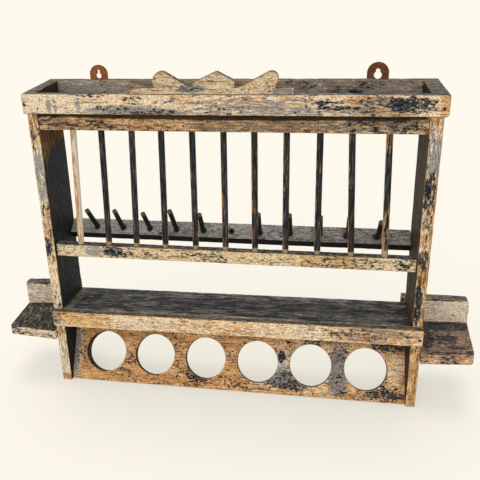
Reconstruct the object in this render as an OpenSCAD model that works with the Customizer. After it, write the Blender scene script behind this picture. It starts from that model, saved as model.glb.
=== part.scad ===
// Wall plate rack: two side panels carry a tray with a fretted crest, a row of dowels,
// a tilted rail of pegs, a sloping shelf, a leaning apron with round holes and two
// bracket shelves. Millimetres, +Z up, front towards -Y.
// Work frame: x = 0 midway between the panels' outer faces, y = 0 at their front edges,
// z = 0 at their feet. The last step moves the middle of the whole box to x = y = 0.

/* [Side panels] */
// Height of the side panels
panel_h = 641; // [560:1:720]
// Depth of the side panels, front edge to back edge
panel_d = 125; // [110:0.5:145]
// Width over the two side panels
body_w = 798; // [700:1:900]
// Thickness of the left panel
left_panel_t = 22; // [16:0.5:28]
// Thickness of the right panel at its top
right_panel_top_t = 25.5; // [18:0.5:30]
// Thickness of the right panel at its foot
right_panel_foot_t = 20.5; // [16:0.5:28]

/* [Tray] */
// Height of the tray's front, back and end boards above the panels
tray_h = 40.5; // [34:0.5:60]
// How far the tray stands in front of the panels
tray_overhang = 11; // [4:0.5:13]
// How far the tray stands out past the left panel, less than 0 where it falls short
tray_over_left = 3.5; // [-4:0.5:6]
// How far the tray stands out past the right panel
tray_over_right = 6; // [-2:0.5:8]
// Thickness of the front board
tray_front_t = 19; // [16:0.5:24]
// Thickness of the back board
tray_back_t = 20; // [17:0.5:26]
// How far the back board laps down behind the panels
tray_back_lap = 36; // [28:1:60]
// Thickness of the left end board
tray_left_end_t = 24; // [15:0.5:28]
// Thickness of the right end board
tray_right_end_t = 31; // [22:0.5:34]
// Thickness of the floor board
tray_floor_t = 12; // [9:0.5:18]

/* [Crest] */
// Thickness of the crest board
crest_t = 16; // [12:0.5:18]
// Height of the strip along the foot of the crest
crest_strip_h = 12.5; // [9:0.5:18]
// Left tip of the crest, to the left of the middle
crest_left = 181; // [168:1:220]
// Length of the curved tail at the left tip
crest_tail = 32; // [16:1:34]
// Square right end of the crest, to the right of the middle
crest_right = 131; // [112:1:170]
// Height of the two scrolls and the gable
crest_h = 42.5; // [36:0.5:56]
// Middle of the left scroll, to the left of the middle
left_scroll_x = 117.5; // [108:0.5:124]
// Radius of the left scroll
left_scroll_r = 17; // [12:0.5:18]
// Middle of the right scroll, to the right of the middle
right_scroll_x = 89; // [84:0.5:96]
// Radius of the right scroll
right_scroll_r = 13; // [9:0.5:15]
// How far the left scroll's round turns under, in degrees
left_neck = 40; // [20:1:60]
// How far the right scroll's round turns under, in degrees
right_neck = 45; // [20:1:60]
// Width of the valleys between the scrolls' slopes and the gable
valley_w = 5; // [2:0.5:8]
// Left foot of the gable, to the left of the middle
gable_left = 57; // [50:0.5:62]
// Right foot of the gable, to the right of the middle
gable_right = 22; // [16:0.5:27]
// Height of the gable's shoulders
gable_eaves_h = 24; // [19:0.5:30]
// Apex of the gable, to the left of the middle
gable_apex = 12.5; // [0:0.5:24]

/* [Rails] */
// Height of the top front rail
top_rail_h = 35; // [29:0.5:50]
// Depth of the top front rail
top_rail_d = 27; // [25:0.5:32]
// Height of the lower front rail
low_rail_h = 29; // [20:0.5:36]
// Depth of the lower front rail
low_rail_d = 20; // [15:0.5:24]
// How far the lower front rail is set back from the panels' front edges
low_rail_setback = 7.5; // [4:0.5:8.5]
// Height of the lower front rail's top
low_rail_z = 350; // [310:0.5:380]
// Wear at the right end of the lower front rail
low_rail_wear = 7; // [0:0.5:12]

/* [Dowels] */
// Diameter of the dowels
dowel_d = 13; // [9:0.5:13.5]
// Length of a dowel inside each rail
dowel_seat = 15; // [10:0.5:18]
// From the left panel to the axis of the first dowel's foot
dowel_gap_left = 54.5; // [30:0.5:70]
// From the axis of the last dowel's foot to the right panel
dowel_gap_right = 66.5; // [34:0.5:80]

/* [Pegs] */
// Diameter of the pegs
peg_d = 11; // [8:0.5:13]
// Length of a peg inside the rail
peg_seat = 16; // [11:0.5:17]
// Distance of the pegs from the rail's back edge, along its face
peg_inset = 22; // [14:0.5:27]
// From the left panel to the axis of the first peg
peg_gap_left = 56; // [30:0.5:72]
// From the axis of the last peg to the right panel
peg_gap_right = 69; // [34:0.5:84]
// Width of the peg rail's face
peg_rail_w = 41.7; // [34:0.1:54]
// Thickness of the peg rail
peg_rail_t = 20; // [18:0.5:26]
// Slope of the peg rail's face
peg_rail_slope = 34.5; // [24:0.5:42]
// Height of the peg rail's back edge
peg_rail_z = 363.5; // [330:0.5:400]

/* [Shelf] */
// Height of the shelf's front edge, midway between the panels
shelf_z = 197; // [178:0.5:230]
// Thickness of the shelf
shelf_t = 21; // [17:0.5:26]
// How far the shelf falls from its front edge to its back edge
shelf_fall = 13; // [4:0.5:20]
// Tilt of the shelf along its length, right end higher
shelf_tilt = 0.6; // [0:0.1:1]
// Height of the strip on the shelf's front edge
strip_h = 37.5; // [32:0.5:48]
// Thickness of the strip
strip_t = 14; // [10:0.5:18]
// How far the strip falls short of the left panel's outer face
strip_short = 2; // [0:0.5:4]
// Worn round at the strip's lower left corner
strip_wear_r = 7; // [3:0.5:12]

/* [Apron] */
// Thickness of the apron
apron_t = 18; // [14:0.5:22]
// Lean of the apron away from upright
apron_lean = 29.7; // [24:0.1:32]
// How far the foot of the apron's face is behind the panels' front edges
apron_setback = 5; // [3:0.5:12]
// Height of the apron's foot
apron_lift = 2; // [1:0.5:8]
// Diameter of the round holes
hole_d = 92; // [74:0.5:100]
// Height of the holes' centres, up the apron's face
hole_up = 68; // [58:0.5:74]
// From the left panel to the first hole's centre
hole_gap_left = 77.5; // [60:0.5:90]
// From the last hole's centre to the right panel
hole_gap_right = 83.5; // [62:0.5:96]
// Skew of the first hole's bore, which runs to the right as it goes in
first_hole_skew = 15; // [0:1:18]

/* [Bracket shelves] */
// Thickness of both bracket shelves
wing_t = 22.7; // [18:0.1:28]
// Height of the left bracket shelf's top
left_wing_z = 136.2; // [112:0.1:150]
// Reach of the left bracket shelf past the panel
left_wing_reach = 117; // [96:1:140]
// How far the left shelf stands in front of the panels' front edges
left_wing_front = 8; // [2:0.5:12]
// How far the left shelf's front edge runs back at its outer end
left_wing_sweep = 12; // [0:0.5:18]
// Swing of the left back plate towards the front
left_back_swing = 6.5; // [0:0.5:9]
// Thickness of the left back plate
left_back_t = 19; // [16:0.5:19.5]
// Height of the left back plate above the shelf
left_back_h = 57; // [44:0.5:80]
// How far the left back plate laps behind its panel
left_back_lap = 15; // [13:0.5:16]
// Height of the right bracket shelf's top, at the panel
right_wing_z = 140; // [116:0.5:150]
// Reach of the right bracket shelf past the panel, at the back
right_wing_reach = 114; // [96:1:140]
// How far the right shelf stands in front of the panels' front edges
right_wing_front = 8; // [2:0.5:12]
// How far the right shelf's front edge runs back at its outer end
right_wing_sweep = 4.5; // [0:0.5:12]
// How much shorter the right shelf is at the front than at the back
right_wing_taper = 8; // [0:0.5:16]
// Tilt of the right bracket shelf, outer end higher
right_wing_tilt = 2; // [0:0.5:4]
// Thickness of the right back plate
right_back_t = 20; // [16:0.5:24]
// Height of the right back plate above the shelf
right_back_h = 59; // [44:0.5:80]
// How far the right back plate reaches in past the panel's inner face
right_back_poke = 8; // [0:0.5:12]
// Round at the right back plate's outer top corner
right_back_r = 10; // [4:0.5:16]
// Worn round at the right shelf's front corner
wing_wear_r = 4; // [2:0.5:8]

/* [Hanger plates] */
// Thickness of the steel
hanger_t = 2; // [1.5:0.1:3]
// How far a plate laps down behind the tray's back board
hanger_lap = 34; // [28:1:36]
// Width of the left plate
left_hanger_w = 39.5; // [32:0.5:50]
// Height of the left plate above the tray
left_hanger_up = 29.5; // [28:0.5:44]
// From the tray's left end to the middle of the left plate
left_hanger_inset = 111.5; // [60:0.5:160]
// Diameter of the left keyhole
left_key_d = 11; // [9:0.5:14]
// Width of the left keyhole's slot
left_slot_w = 4.5; // [3.5:0.5:6]
// Width of the right plate
right_hanger_w = 43; // [36:0.5:50]
// Height of the right plate above the tray
right_hanger_up = 32.5; // [30:0.5:44]
// From the tray's right end to the middle of the right plate
right_hanger_inset = 116; // [60:0.5:160]
// Diameter of the right keyhole
right_key_d = 15; // [11:0.5:16]
// Width of the right keyhole's slot
right_slot_w = 8; // [5:0.5:9]
// Height of the keyholes' round centres above the tray
key_up = 6.5; // [6:0.5:12]
// Height of the slots' tops above the keyholes' centres
slot_rise = 13; // [10:0.5:14]

/* [Nails, pins and screws] */
// Shank diameter of the nails
nail_d = 2.8; // [2:0.1:4]
// Length of the nails
nail_l = 45; // [38:1:48]
// Head diameter of the nails
nail_head_d = 6; // [5:0.5:7]
// Head thickness of the nails
nail_head_t = 1.2; // [1:0.1:2]
// Length of the thinner nails of the tray's floor
floor_nail_l = 26; // [20:1:30]
// Diameter of the crest's pins
pin_d = 5; // [3:0.5:6]
// Length of a crest pin in each board
pin_seat = 12; // [8:0.5:20]
// Shank diameter of the hangers' screws
screw_d = 3.5; // [3:0.5:4.5]
// Head diameter of the hangers' screws
screw_head_d = 7; // [6:0.5:8]
// Length of the hangers' screws
screw_l = 18; // [12:1:18.5]
// Depth of the upper screws below the tray's top
screw_drop = 10; // [7:0.5:12]
// Distance between a plate's two screws
screw_pitch = 14; // [9:0.5:16]

/* [Fits] */
// Gap round a dowel or peg in its bore
wood_fit = 0.15; // [0.1:0.05:0.3]
// Gap round a nail, pin or screw in its hole
metal_fit = 0.1; // [0.05:0.05:0.2]
// How far a nail's head is set below the wood
nail_set = 0.4; // [0.2:0.1:1]
// Spare depth past the upper end of a dowel, pin or nail
spare = 0.8; // [0.5:0.1:2]

/* [Hidden] */
$fn = 64;

// Small wander of the hand-set dowels, pegs and holes, in the order left to right
DOWEL_WANDER = [0, 0, -2, -2, 0, 0, -2, -3, -2, 2, 5];
DOWEL_LEAN = [10, 6, 8, 5, 2, 1, 0, 0, -1, -9, -7];
PEG_WANDER = [6, 3, 4, 2, 0, 0, 0, 4, 5, 1, 1];
PEG_OUT = [66, 67, 60, 74, 64, 0, 73, 74, 71, 70, 59];
PEG_LEAN = [-6, -3, -4.5, -2.5, -0.5, 0, 1, -0.5, -0.5, 0, 1.5];
HOLE_WANDER = [0, -1, -1, -1, -1, 0];

// Panels and the space between them
left_x = -body_w / 2;
right_x = body_w / 2;
left_in = left_x + left_panel_t;
wall_y = panel_d + tray_back_t;
far = 2 * body_w;

// Tray
tray_top = panel_h + tray_h;
tray_x0 = left_x - tray_over_left;
tray_x1 = right_x + tray_over_right;
tray_in0 = tray_x0 + tray_left_end_t;
tray_in1 = tray_x1 - tray_right_end_t;
tray_front_y = -tray_overhang;
tray_in_y = tray_front_y + tray_front_t;

// Rails, dowels and pegs
top_rail_z = panel_h - top_rail_h;
dowel_y = low_rail_setback + low_rail_d / 2;
dowel_first = left_in + dowel_gap_left;
dowel_last = right_in(low_rail_z) - dowel_gap_right;
dowel_count = len(DOWEL_WANDER);
dowel_pitch = (dowel_last - dowel_first) / (dowel_count - 1);
peg_first = left_in + peg_gap_left;
peg_last = right_in(peg_rail_z) - peg_gap_right;
peg_count = len(PEG_WANDER);
peg_pitch = (peg_last - peg_first) / (peg_count - 1);
peg_y = panel_d - peg_inset * cos(peg_rail_slope);
peg_z = peg_rail_z - peg_inset * sin(peg_rail_slope);

// Apron holes
hole_first = left_in + hole_gap_left;
hole_last = right_in(hole_up) - hole_gap_right;
hole_count = len(HOLE_WANDER);
hole_pitch = (hole_last - hole_first) / (hole_count - 1);

// Bracket shelves
left_wing_x = left_x - left_wing_reach;
right_wing_x = right_x + right_wing_reach;
right_back_x = right_in(right_wing_z) - right_back_poke;

// Hanger plates, let in flush with the back board
left_hanger_x = tray_x0 + left_hanger_inset;
right_hanger_x = tray_x1 - right_hanger_inset;

// Middle of the whole box, which becomes the origin
mid_x = (left_wing_x + right_wing_x) / 2;
mid_y = (wall_y - strip_t) / 2;

// Inner face of the right panel, which tapers towards its foot
function right_in(z) = right_x - right_panel_foot_t - (right_panel_top_t - right_panel_foot_t) * z / panel_h;

// Height of the tilted shelf's front edge at x
function shelf_at(x) = shelf_z + x * tan(shelf_tilt);

// Foot and head of a dowel where it leaves the rails, and the start of a peg
function dowel_foot(i) = [dowel_first + i * dowel_pitch + DOWEL_WANDER[i], dowel_y, low_rail_z];
function dowel_head(i) = [dowel_foot(i)[0] + DOWEL_LEAN[i], dowel_y, top_rail_z];
function peg_foot(i) = [peg_first + i * peg_pitch + PEG_WANDER[i], peg_y, peg_z];

// A point in the apron's thickness: up its face, then into the board
function apron_point(x, up, deep) = [
    x,
    apron_setback + up * sin(apron_lean) + deep * cos(apron_lean),
    apron_lift + up * cos(apron_lean) - deep * sin(apron_lean)
];

// Where a straight slope leaves a round of radius r, as an angle above level, when the slope
// ends at run to the right of the round's middle and drop below it
function slope_angle(run, drop, r) = acos(r / norm([run, drop])) - atan2(drop, run);

// How far below its middle's level a scroll's round goes on, at most want, above the strip
function neck_angle(middle, r, want) = min(want, asin(min(1, (middle[1] - crest_strip_h) / r)));

// Points along a round, from angle a0 to angle a1
function round_points(middle, r, a0, a1) =
    let (steps = ceil(abs(a1 - a0) / 9))
    [for (k = [0 : steps]) let (a = a0 + (a1 - a0) * k / steps) middle + r * [cos(a), sin(a)]];

// Nails, as a list of places of their heads' outer faces; each list runs one way
TRAY_FRONT_NAILS = [
    [tray_x0 + tray_left_end_t / 4, tray_front_y, panel_h + tray_h * 0.45],
    [tray_x1 - tray_right_end_t / 3, tray_front_y, panel_h + tray_h * 0.4]
];
TRAY_BACK_NAILS = [
    [tray_x0 + tray_left_end_t / 2, wall_y, panel_h + tray_h / 2],
    [tray_x1 - tray_right_end_t / 2, wall_y, panel_h + tray_h / 2],
    [left_x + left_panel_t / 2, wall_y, panel_h - tray_back_lap / 2],
    [right_x - right_panel_foot_t / 2, wall_y, panel_h - tray_back_lap / 2]
];
TRAY_FLOOR_NAILS = [
    for (i = [0, 3, 6, 9]) [(dowel_head(i)[0] + dowel_head(i + 1)[0]) / 2, dowel_y, panel_h + tray_floor_t]
];
RAIL_YZ = [
    [top_rail_d / 2, top_rail_z + top_rail_h * 0.3],
    [top_rail_d / 2, top_rail_z + top_rail_h * 0.75],
    [dowel_y, low_rail_z - low_rail_h / 2]
];
PEG_RAIL_YZ = [[
    panel_d - peg_rail_w / 2 * cos(peg_rail_slope) + peg_rail_t / 2 * sin(peg_rail_slope),
    peg_rail_z - peg_rail_w / 2 * sin(peg_rail_slope) - peg_rail_t / 2 * cos(peg_rail_slope)
]];
SHELF_NAIL_Y = [panel_d * 0.3, panel_d * 0.75];
APRON_NAIL_UP = [20, 118];
WING_NAIL_Y = [panel_d * 0.25, panel_d * 0.55];
WING_NAIL_OUT = [30, 85];

/* ---- Shared shapes ---- */

// Puts the middle of the whole box at x = y = 0
module placed() {
    translate([-mid_x, -mid_y, 0])
        children();
}

// A box from its low corner to its high corner
module block(low, high) {
    translate(low)
        cube(high - low);
}

// An outline drawn in x and z, thick along y from y0
module upright(y0, thick) {
    translate([0, y0 + thick, 0])
        rotate([90, 0, 0])
            linear_extrude(thick)
                children();
}

// An outline drawn in y and z, run across the whole width
module crosswise() {
    translate([-far / 2, 0, 0])
        rotate([90, 0, 90])
            linear_extrude(far)
                children();
}

// What a round of radius r takes off the corner at the outline's origin
module corner_waste(r) {
    difference() {
        translate([-r, -r])
            square(2 * r);
        translate([r, r])
            circle(r);
        translate([0, r])
            square(2 * r);
        translate([r, 0])
            square(2 * r);
    }
}

// Turns +Z of its children to run from point a towards point b
module aim(a, b) {
    run = b - a;
    level = norm([run[0], run[1]]);
    translate(a)
        rotate([0, atan2(level, run[2]), atan2(run[1], run[0])])
            children();
}

// The space between the panels, no deeper than their back edges
module inside_space() {
    intersection() {
        upright(-far / 2, far / 2 + panel_d)
            polygon([
                [left_in, -panel_h],
                [right_in(-panel_h), -panel_h],
                [right_in(2 * panel_h), 2 * panel_h],
                [left_in, 2 * panel_h]
            ]);
        children();
    }
}

// A nail, its head set a little below the face at the origin, running along +Z
module nail(length) {
    translate([0, 0, nail_set])
        cylinder(d = nail_head_d, h = nail_head_t);
    translate([0, 0, nail_set + nail_head_t / 2])
        cylinder(d = nail_d, h = length - nail_set - nail_head_t / 2);
}

// The hole for such a nail
module nail_hole(length) {
    translate([0, 0, -1])
        cylinder(d = nail_head_d + 2 * metal_fit, h = 1 + nail_set + nail_head_t);
    cylinder(d = nail_d + 2 * metal_fit, h = length + spare);
}

// Children at each point of a list, +Z of each turned to run along dir
module at_each(points, dir) {
    for (p = points)
        aim(p, p + dir)
            children();
}

/* ---- Where the nails go ---- */

module tray_nail_run() {
    at_each(TRAY_FRONT_NAILS, [0, 1, 0])
        children();
    at_each(TRAY_BACK_NAILS, [0, -1, 0])
        children();
}

module floor_nail_run() {
    at_each(TRAY_FLOOR_NAILS, [0, 0, -1])
        children();
}

// From both panels' outer faces inwards, at the given places in y and z
module side_run(places) {
    at_each([for (p = places) [left_x, p[0], p[1]]], [1, 0, 0])
        children();
    at_each([for (p = places) [right_x, p[0], p[1]]], [-1, 0, 0])
        children();
}

module shelf_nail_run() {
    drop = shelf_t / 2;
    for (y = SHELF_NAIL_Y) {
        fall = shelf_fall * y / panel_d + drop;
        at_each([[left_x, y, shelf_at(left_in) - fall]], [1, 0, 0])
            children();
        at_each([[right_x, y, shelf_at(-left_in) - fall]], [-1, 0, 0])
            children();
    }
}

module apron_nail_run() {
    side_run([
        for (up = APRON_NAIL_UP)
            [apron_point(0, up, apron_t / 2)[1], apron_point(0, up, apron_t / 2)[2]]
    ])
        children();
}

module strip_nail_run() {
    for (x = [left_x + left_panel_t / 3, right_x - right_panel_foot_t / 3])
        at_each([[x, -strip_t, shelf_at(x) - strip_h * 0.62]], [0, 1, 0])
            children();
}

// Through the panels' inner faces into the bracket shelves' inner ends
module wing_end_nail_run() {
    for (y = WING_NAIL_Y) {
        at_each([[left_in, y, left_wing_z - wing_t / 2]], [-1, 0, 0])
            children();
        at_each([[right_in(right_wing_z), y, right_wing_z - wing_t / 2]], [1, 0, 0])
            children();
    }
}

// Through the left back plate into the bracket shelf, square to the plate
module left_back_nail_run() {
    turn = left_back_swing;
    inward = [sin(turn), -cos(turn), 0];
    for (out = WING_NAIL_OUT)
        at_each([
            [left_x - out, panel_d - out * tan(turn) + left_back_t / cos(turn), left_wing_z - wing_t / 2]
        ], inward)
            children();
}

module right_back_nail_run() {
    for (out = WING_NAIL_OUT)
        at_each([[
            right_x + out,
            panel_d + right_back_t,
            right_wing_z + out * tan(right_wing_tilt) - wing_t / 2
        ]], [0, -1, 0])
            children();
}

// Through the back plates into the panels' back edges
module back_to_panel_nail_run() {
    at_each([[left_x + left_back_lap - nail_head_d, wall_y, left_wing_z + left_back_h / 3]], [0, -1, 0])
        children();
    at_each([[
        right_x - right_panel_foot_t / 2,
        panel_d + right_back_t,
        right_wing_z + right_back_h / 3
    ]], [0, -1, 0])
        children();
}

module wing_nail_run() {
    wing_end_nail_run()
        children();
    left_back_nail_run()
        children();
    right_back_nail_run()
        children();
    back_to_panel_nail_run()
        children();
}

/* ---- Tray ---- */

module tray_front_board() {
    color("#c8a06c")
        difference() {
            block([tray_x0, tray_front_y, panel_h], [tray_x1, tray_in_y, tray_top]);
            tray_nail_run()
                nail_hole(nail_l);
            crest_pin_run(metal_fit, spare);
        }
}

module tray_back_board() {
    color("#4a4038")
        difference() {
            block([tray_x0, panel_d, panel_h - tray_back_lap], [tray_x1, wall_y, tray_top]);
            tray_nail_run()
                nail_hole(nail_l);
            hanger_pocket(left_hanger_x, left_hanger_w);
            hanger_pocket(right_hanger_x, right_hanger_w);
            hanger_screw_run(metal_fit);
        }
}

module tray_end(x0, x1) {
    color("#453d36")
        difference() {
            block([x0, tray_in_y, panel_h], [x1, panel_d, tray_top]);
            tray_nail_run()
                nail_hole(nail_l);
        }
}

module tray_floor() {
    color("#3f3831")
        difference() {
            block([tray_in0, tray_in_y, panel_h], [tray_in1, panel_d, panel_h + tray_floor_t]);
            floor_nail_run()
                nail_hole(floor_nail_l);
        }
}

module tray_nails() {
    color("#3a3330") {
        tray_nail_run()
            nail(nail_l);
        floor_nail_run()
            nail(floor_nail_l);
    }
}

/* ---- Crest ---- */

// A curved tail, a scroll with a straight slope, a gable, and a scroll the other way round
module crest_outline() {
    left_middle = [-left_scroll_x, crest_h - left_scroll_r];
    left_foot = [-gable_left - valley_w, crest_strip_h];
    left_run = left_foot[0] - left_middle[0];
    left_drop = left_middle[1] - left_foot[1];
    left_start = 180 + neck_angle(left_middle, left_scroll_r, left_neck);
    left_end = slope_angle(left_run, left_drop, left_scroll_r);
    right_middle = [right_scroll_x, crest_h - right_scroll_r];
    right_foot = [gable_right + valley_w, crest_strip_h];
    right_run = right_middle[0] - right_foot[0];
    right_drop = right_middle[1] - right_foot[1];
    right_start = 180 - slope_angle(right_run, right_drop, right_scroll_r);
    right_end = -neck_angle(right_middle, right_scroll_r, right_neck);
    polygon(concat(
        [for (a = [0 : 10 : 90]) [-crest_left + crest_tail * (1 - cos(a)), crest_strip_h * sin(a)]],
        [[left_middle[0] - left_scroll_r * 0.8, crest_strip_h]],
        round_points(left_middle, left_scroll_r, left_start, left_end),
        [
            left_foot,
            [-gable_left, crest_strip_h],
            [-gable_left, gable_eaves_h - 2],
            [-gable_apex, crest_h],
            [gable_right + 1, gable_eaves_h],
            [gable_right - 1, crest_strip_h],
            right_foot
        ],
        round_points(right_middle, right_scroll_r, right_start, right_end),
        [
            [right_middle[0] + right_scroll_r * 0.65, crest_strip_h],
            [crest_right, crest_strip_h],
            [crest_right, 0]
        ]
    ));
}

module crest_board() {
    color("#c9aa7c")
        difference() {
            translate([0, 0, tray_top])
                upright(tray_front_y, crest_t)
                    crest_outline();
            crest_pin_run(metal_fit, spare);
        }
}

// The pins, made wider and taller for their holes
module crest_pin_run(fit, extra) {
    for (x = [-left_scroll_x, -gable_apex, right_scroll_x])
        translate([x, tray_front_y + crest_t / 2, tray_top - pin_seat])
            cylinder(d = pin_d + 2 * fit, h = 2 * pin_seat + extra);
}

module crest_pins() {
    color("#b9a37c")
        crest_pin_run(0, 0);
}

/* ---- Side panels ---- */

module panel_nail_holes() {
    tray_nail_run()
        nail_hole(nail_l);
    side_run(concat(RAIL_YZ, PEG_RAIL_YZ))
        nail_hole(nail_l);
    shelf_nail_run()
        nail_hole(nail_l);
    apron_nail_run()
        nail_hole(nail_l);
    strip_nail_run()
        nail_hole(nail_l);
    wing_nail_run()
        nail_hole(nail_l);
}

module left_side_panel() {
    color("#8d7f6a")
        difference() {
            block([left_x, 0, 0], [left_in, panel_d, panel_h]);
            panel_nail_holes();
        }
}

module right_side_panel() {
    color("#a08a68")
        difference() {
            upright(0, panel_d)
                polygon([
                    [right_in(0), 0],
                    [right_x, 0],
                    [right_x, panel_h],
                    [right_in(panel_h), panel_h]
                ]);
            panel_nail_holes();
        }
}

/* ---- Rails and dowels ---- */

// A dowel's body; fit widens it and extra lengthens its upper end, for its bores
module dowel_body(i, fit, extra) {
    foot = dowel_foot(i);
    head = dowel_head(i);
    aim(foot, head)
        translate([0, 0, -dowel_seat])
            cylinder(d = dowel_d + 2 * fit, h = norm(head - foot) + 2 * dowel_seat + extra);
}

module dowel_bores() {
    for (i = [0 : dowel_count - 1])
        dowel_body(i, wood_fit, spare);
}

module top_front_rail() {
    color("#6d665c")
        difference() {
            inside_space()
                block([left_x, 0, top_rail_z], [right_x, top_rail_d, panel_h]);
            dowel_bores();
            side_run(RAIL_YZ)
                nail_hole(nail_l);
            floor_nail_run()
                nail_hole(floor_nail_l);
        }
}

module lower_front_rail() {
    back_y = low_rail_setback + low_rail_d;
    end_x = right_in(low_rail_z - low_rail_h);
    color("#a89270")
        difference() {
            inside_space()
                block([left_x, low_rail_setback, low_rail_z - low_rail_h], [right_x, back_y, low_rail_z]);
            dowel_bores();
            side_run(RAIL_YZ)
                nail_hole(nail_l);
            translate([0, 0, low_rail_z - low_rail_h - 1])
                linear_extrude(low_rail_h + 2)
                    polygon([
                        [end_x + 1, back_y - low_rail_d * 0.8],
                        [end_x + 1, back_y + 1],
                        [end_x - low_rail_wear, back_y + 1]
                    ]);
        }
}

module dowel(i) {
    color(i == 0 ? "#d8c8a8" : "#3a4048")
        dowel_body(i, 0, 0);
}

module rail_nails() {
    color("#3a3330")
        side_run(RAIL_YZ)
            nail(nail_l);
}

/* ---- Peg rail and pegs ---- */

module peg_rail() {
    slope = peg_rail_slope;
    front = [panel_d - peg_rail_w * cos(slope), peg_rail_z - peg_rail_w * sin(slope)];
    under = front + peg_rail_t * [sin(slope), -cos(slope)];
    color("#6a5c4c")
        difference() {
            inside_space()
                crosswise()
                    polygon([
                        [panel_d, peg_rail_z],
                        front,
                        under,
                        [panel_d, under[1] + (panel_d - under[0]) * tan(slope)]
                    ]);
            for (i = [0 : peg_count - 1])
                peg_body(i, peg_rail_t * 2, wood_fit);
            side_run(PEG_RAIL_YZ)
                nail_hole(nail_l);
        }
}

// A peg's body, out of the rail's face by the given length; fit widens it for its bore
module peg_body(i, out, fit) {
    translate(peg_foot(i))
        rotate([peg_rail_slope, 0, 0])
            rotate([0, PEG_LEAN[i], 0])
                translate([0, 0, -peg_seat])
                    cylinder(d = peg_d + 2 * fit, h = peg_seat + out);
}

module peg(i) {
    color("#2c2a2a")
        peg_body(i, PEG_OUT[i], 0);
}

module peg_rail_nails() {
    color("#3a3330")
        side_run(PEG_RAIL_YZ)
            nail(nail_l);
}

/* ---- Shelf ---- */

// Tilts the shelf and what fits it about the middle of its front edge
module tilted() {
    translate([0, 0, shelf_z])
        rotate([0, -shelf_tilt, 0])
            translate([0, 0, -shelf_z])
                children();
}

module shelf_board() {
    color("#34373a")
        difference() {
            inside_space()
                tilted()
                    crosswise()
                        polygon([
                            [0, shelf_z],
                            [panel_d, shelf_z - shelf_fall],
                            [panel_d, shelf_z - shelf_fall - shelf_t],
                            [0, shelf_z - shelf_t]
                        ]);
            shelf_nail_run()
                nail_hole(nail_l);
        }
}

module shelf_front_strip() {
    low = shelf_z - strip_h;
    color("#b89b70")
        difference() {
            tilted()
                upright(-strip_t, strip_t)
                    difference() {
                        translate([left_x + strip_short, low])
                            square([body_w - strip_short, strip_h]);
                        translate([left_x + strip_short, low])
                            corner_waste(strip_wear_r);
                    }
            strip_nail_run()
                nail_hole(nail_l);
        }
}

module shelf_nails() {
    color("#3a3330")
        shelf_nail_run()
            nail(nail_l);
}

module strip_nails() {
    color("#3a3330")
        strip_nail_run()
            nail(nail_l);
}

/* ---- Apron ---- */

// A round hole square to the apron's face; the first one is bored askew
module apron_hole(i) {
    translate(apron_point(hole_first + i * hole_pitch + HOLE_WANDER[i], hole_up, 0))
        rotate([-90 - apron_lean, 0, 0])
            rotate([0, i == 0 ? first_hole_skew : 0, 0])
                translate([0, 0, -apron_t * 2])
                    cylinder(d = hole_d, h = apron_t * 4, $fn = 96);
}

module apron_board() {
    reach = shelf_z / cos(apron_lean);
    color("#b58a55")
        difference() {
            inside_space()
                crosswise()
                    polygon([
                        [apron_setback, apron_lift],
                        [apron_setback + apron_t / cos(apron_lean), apron_lift],
                        [apron_point(0, reach, apron_t)[1], apron_point(0, reach, apron_t)[2]],
                        [apron_point(0, reach, 0)[1], apron_point(0, reach, 0)[2]]
                    ]);
            tilted()
                crosswise()
                    polygon([
                        [-panel_d, shelf_z - shelf_t + shelf_fall],
                        [2 * panel_d, shelf_z - shelf_t - 2 * shelf_fall],
                        [2 * panel_d, panel_h],
                        [-panel_d, panel_h]
                    ]);
            for (i = [0 : hole_count - 1])
                apron_hole(i);
            apron_nail_run()
                nail_hole(nail_l);
        }
}

module apron_nails() {
    color("#3a3330")
        apron_nail_run()
            nail(nail_l);
}

/* ---- Bracket shelves ---- */

module left_wing_shelf() {
    color("#3c3a38")
        difference() {
            translate([0, 0, left_wing_z - wing_t])
                linear_extrude(wing_t)
                    polygon([
                        [left_x, -left_wing_front],
                        [left_x, panel_d],
                        [left_wing_x, panel_d - left_wing_reach * tan(left_back_swing)],
                        [left_wing_x, -left_wing_front + left_wing_sweep]
                    ]);
            wing_nail_run()
                nail_hole(nail_l);
        }
}

// The left back plate is swung forward, and lies flat behind the panel
module left_wing_back() {
    turn = left_back_swing;
    thick_y = left_back_t / cos(turn);
    flat_x = min((tray_back_t - thick_y) / tan(max(turn, 0.01)), left_back_lap);
    inner_x = left_x + left_back_lap;
    outer_y = panel_d - left_wing_reach * tan(turn);
    color("#a59a86")
        difference() {
            translate([0, 0, left_wing_z - wing_t])
                linear_extrude(wing_t + left_back_h)
                    polygon([
                        [inner_x, panel_d],
                        [left_x, panel_d],
                        [left_wing_x, outer_y],
                        [left_wing_x, outer_y + thick_y],
                        [left_x + flat_x, panel_d + thick_y + flat_x * tan(turn)],
                        [inner_x, panel_d + thick_y + flat_x * tan(turn)]
                    ]);
            wing_nail_run()
                nail_hole(nail_l);
        }
}

module right_wing_shelf() {
    front_x = right_wing_x - right_wing_taper;
    front_y = -right_wing_front + right_wing_sweep;
    color("#4a3d30")
        difference() {
            intersection() {
                translate([right_x, 0, right_wing_z])
                    rotate([0, -right_wing_tilt, 0])
                        translate([-right_x, 0, -wing_t])
                            linear_extrude(wing_t)
                                difference() {
                                    polygon([
                                        [right_x - 4, -right_wing_front],
                                        [right_x, -right_wing_front],
                                        [front_x, front_y],
                                        [right_wing_x, panel_d],
                                        [right_x - 4, panel_d]
                                    ]);
                                    translate([front_x, front_y])
                                        rotate([0, 0, 90])
                                            corner_waste(wing_wear_r);
                                }
                block([right_x, -far, 0], [right_wing_x, far, panel_h]);
            }
            wing_nail_run()
                nail_hole(nail_l);
        }
}

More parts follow.
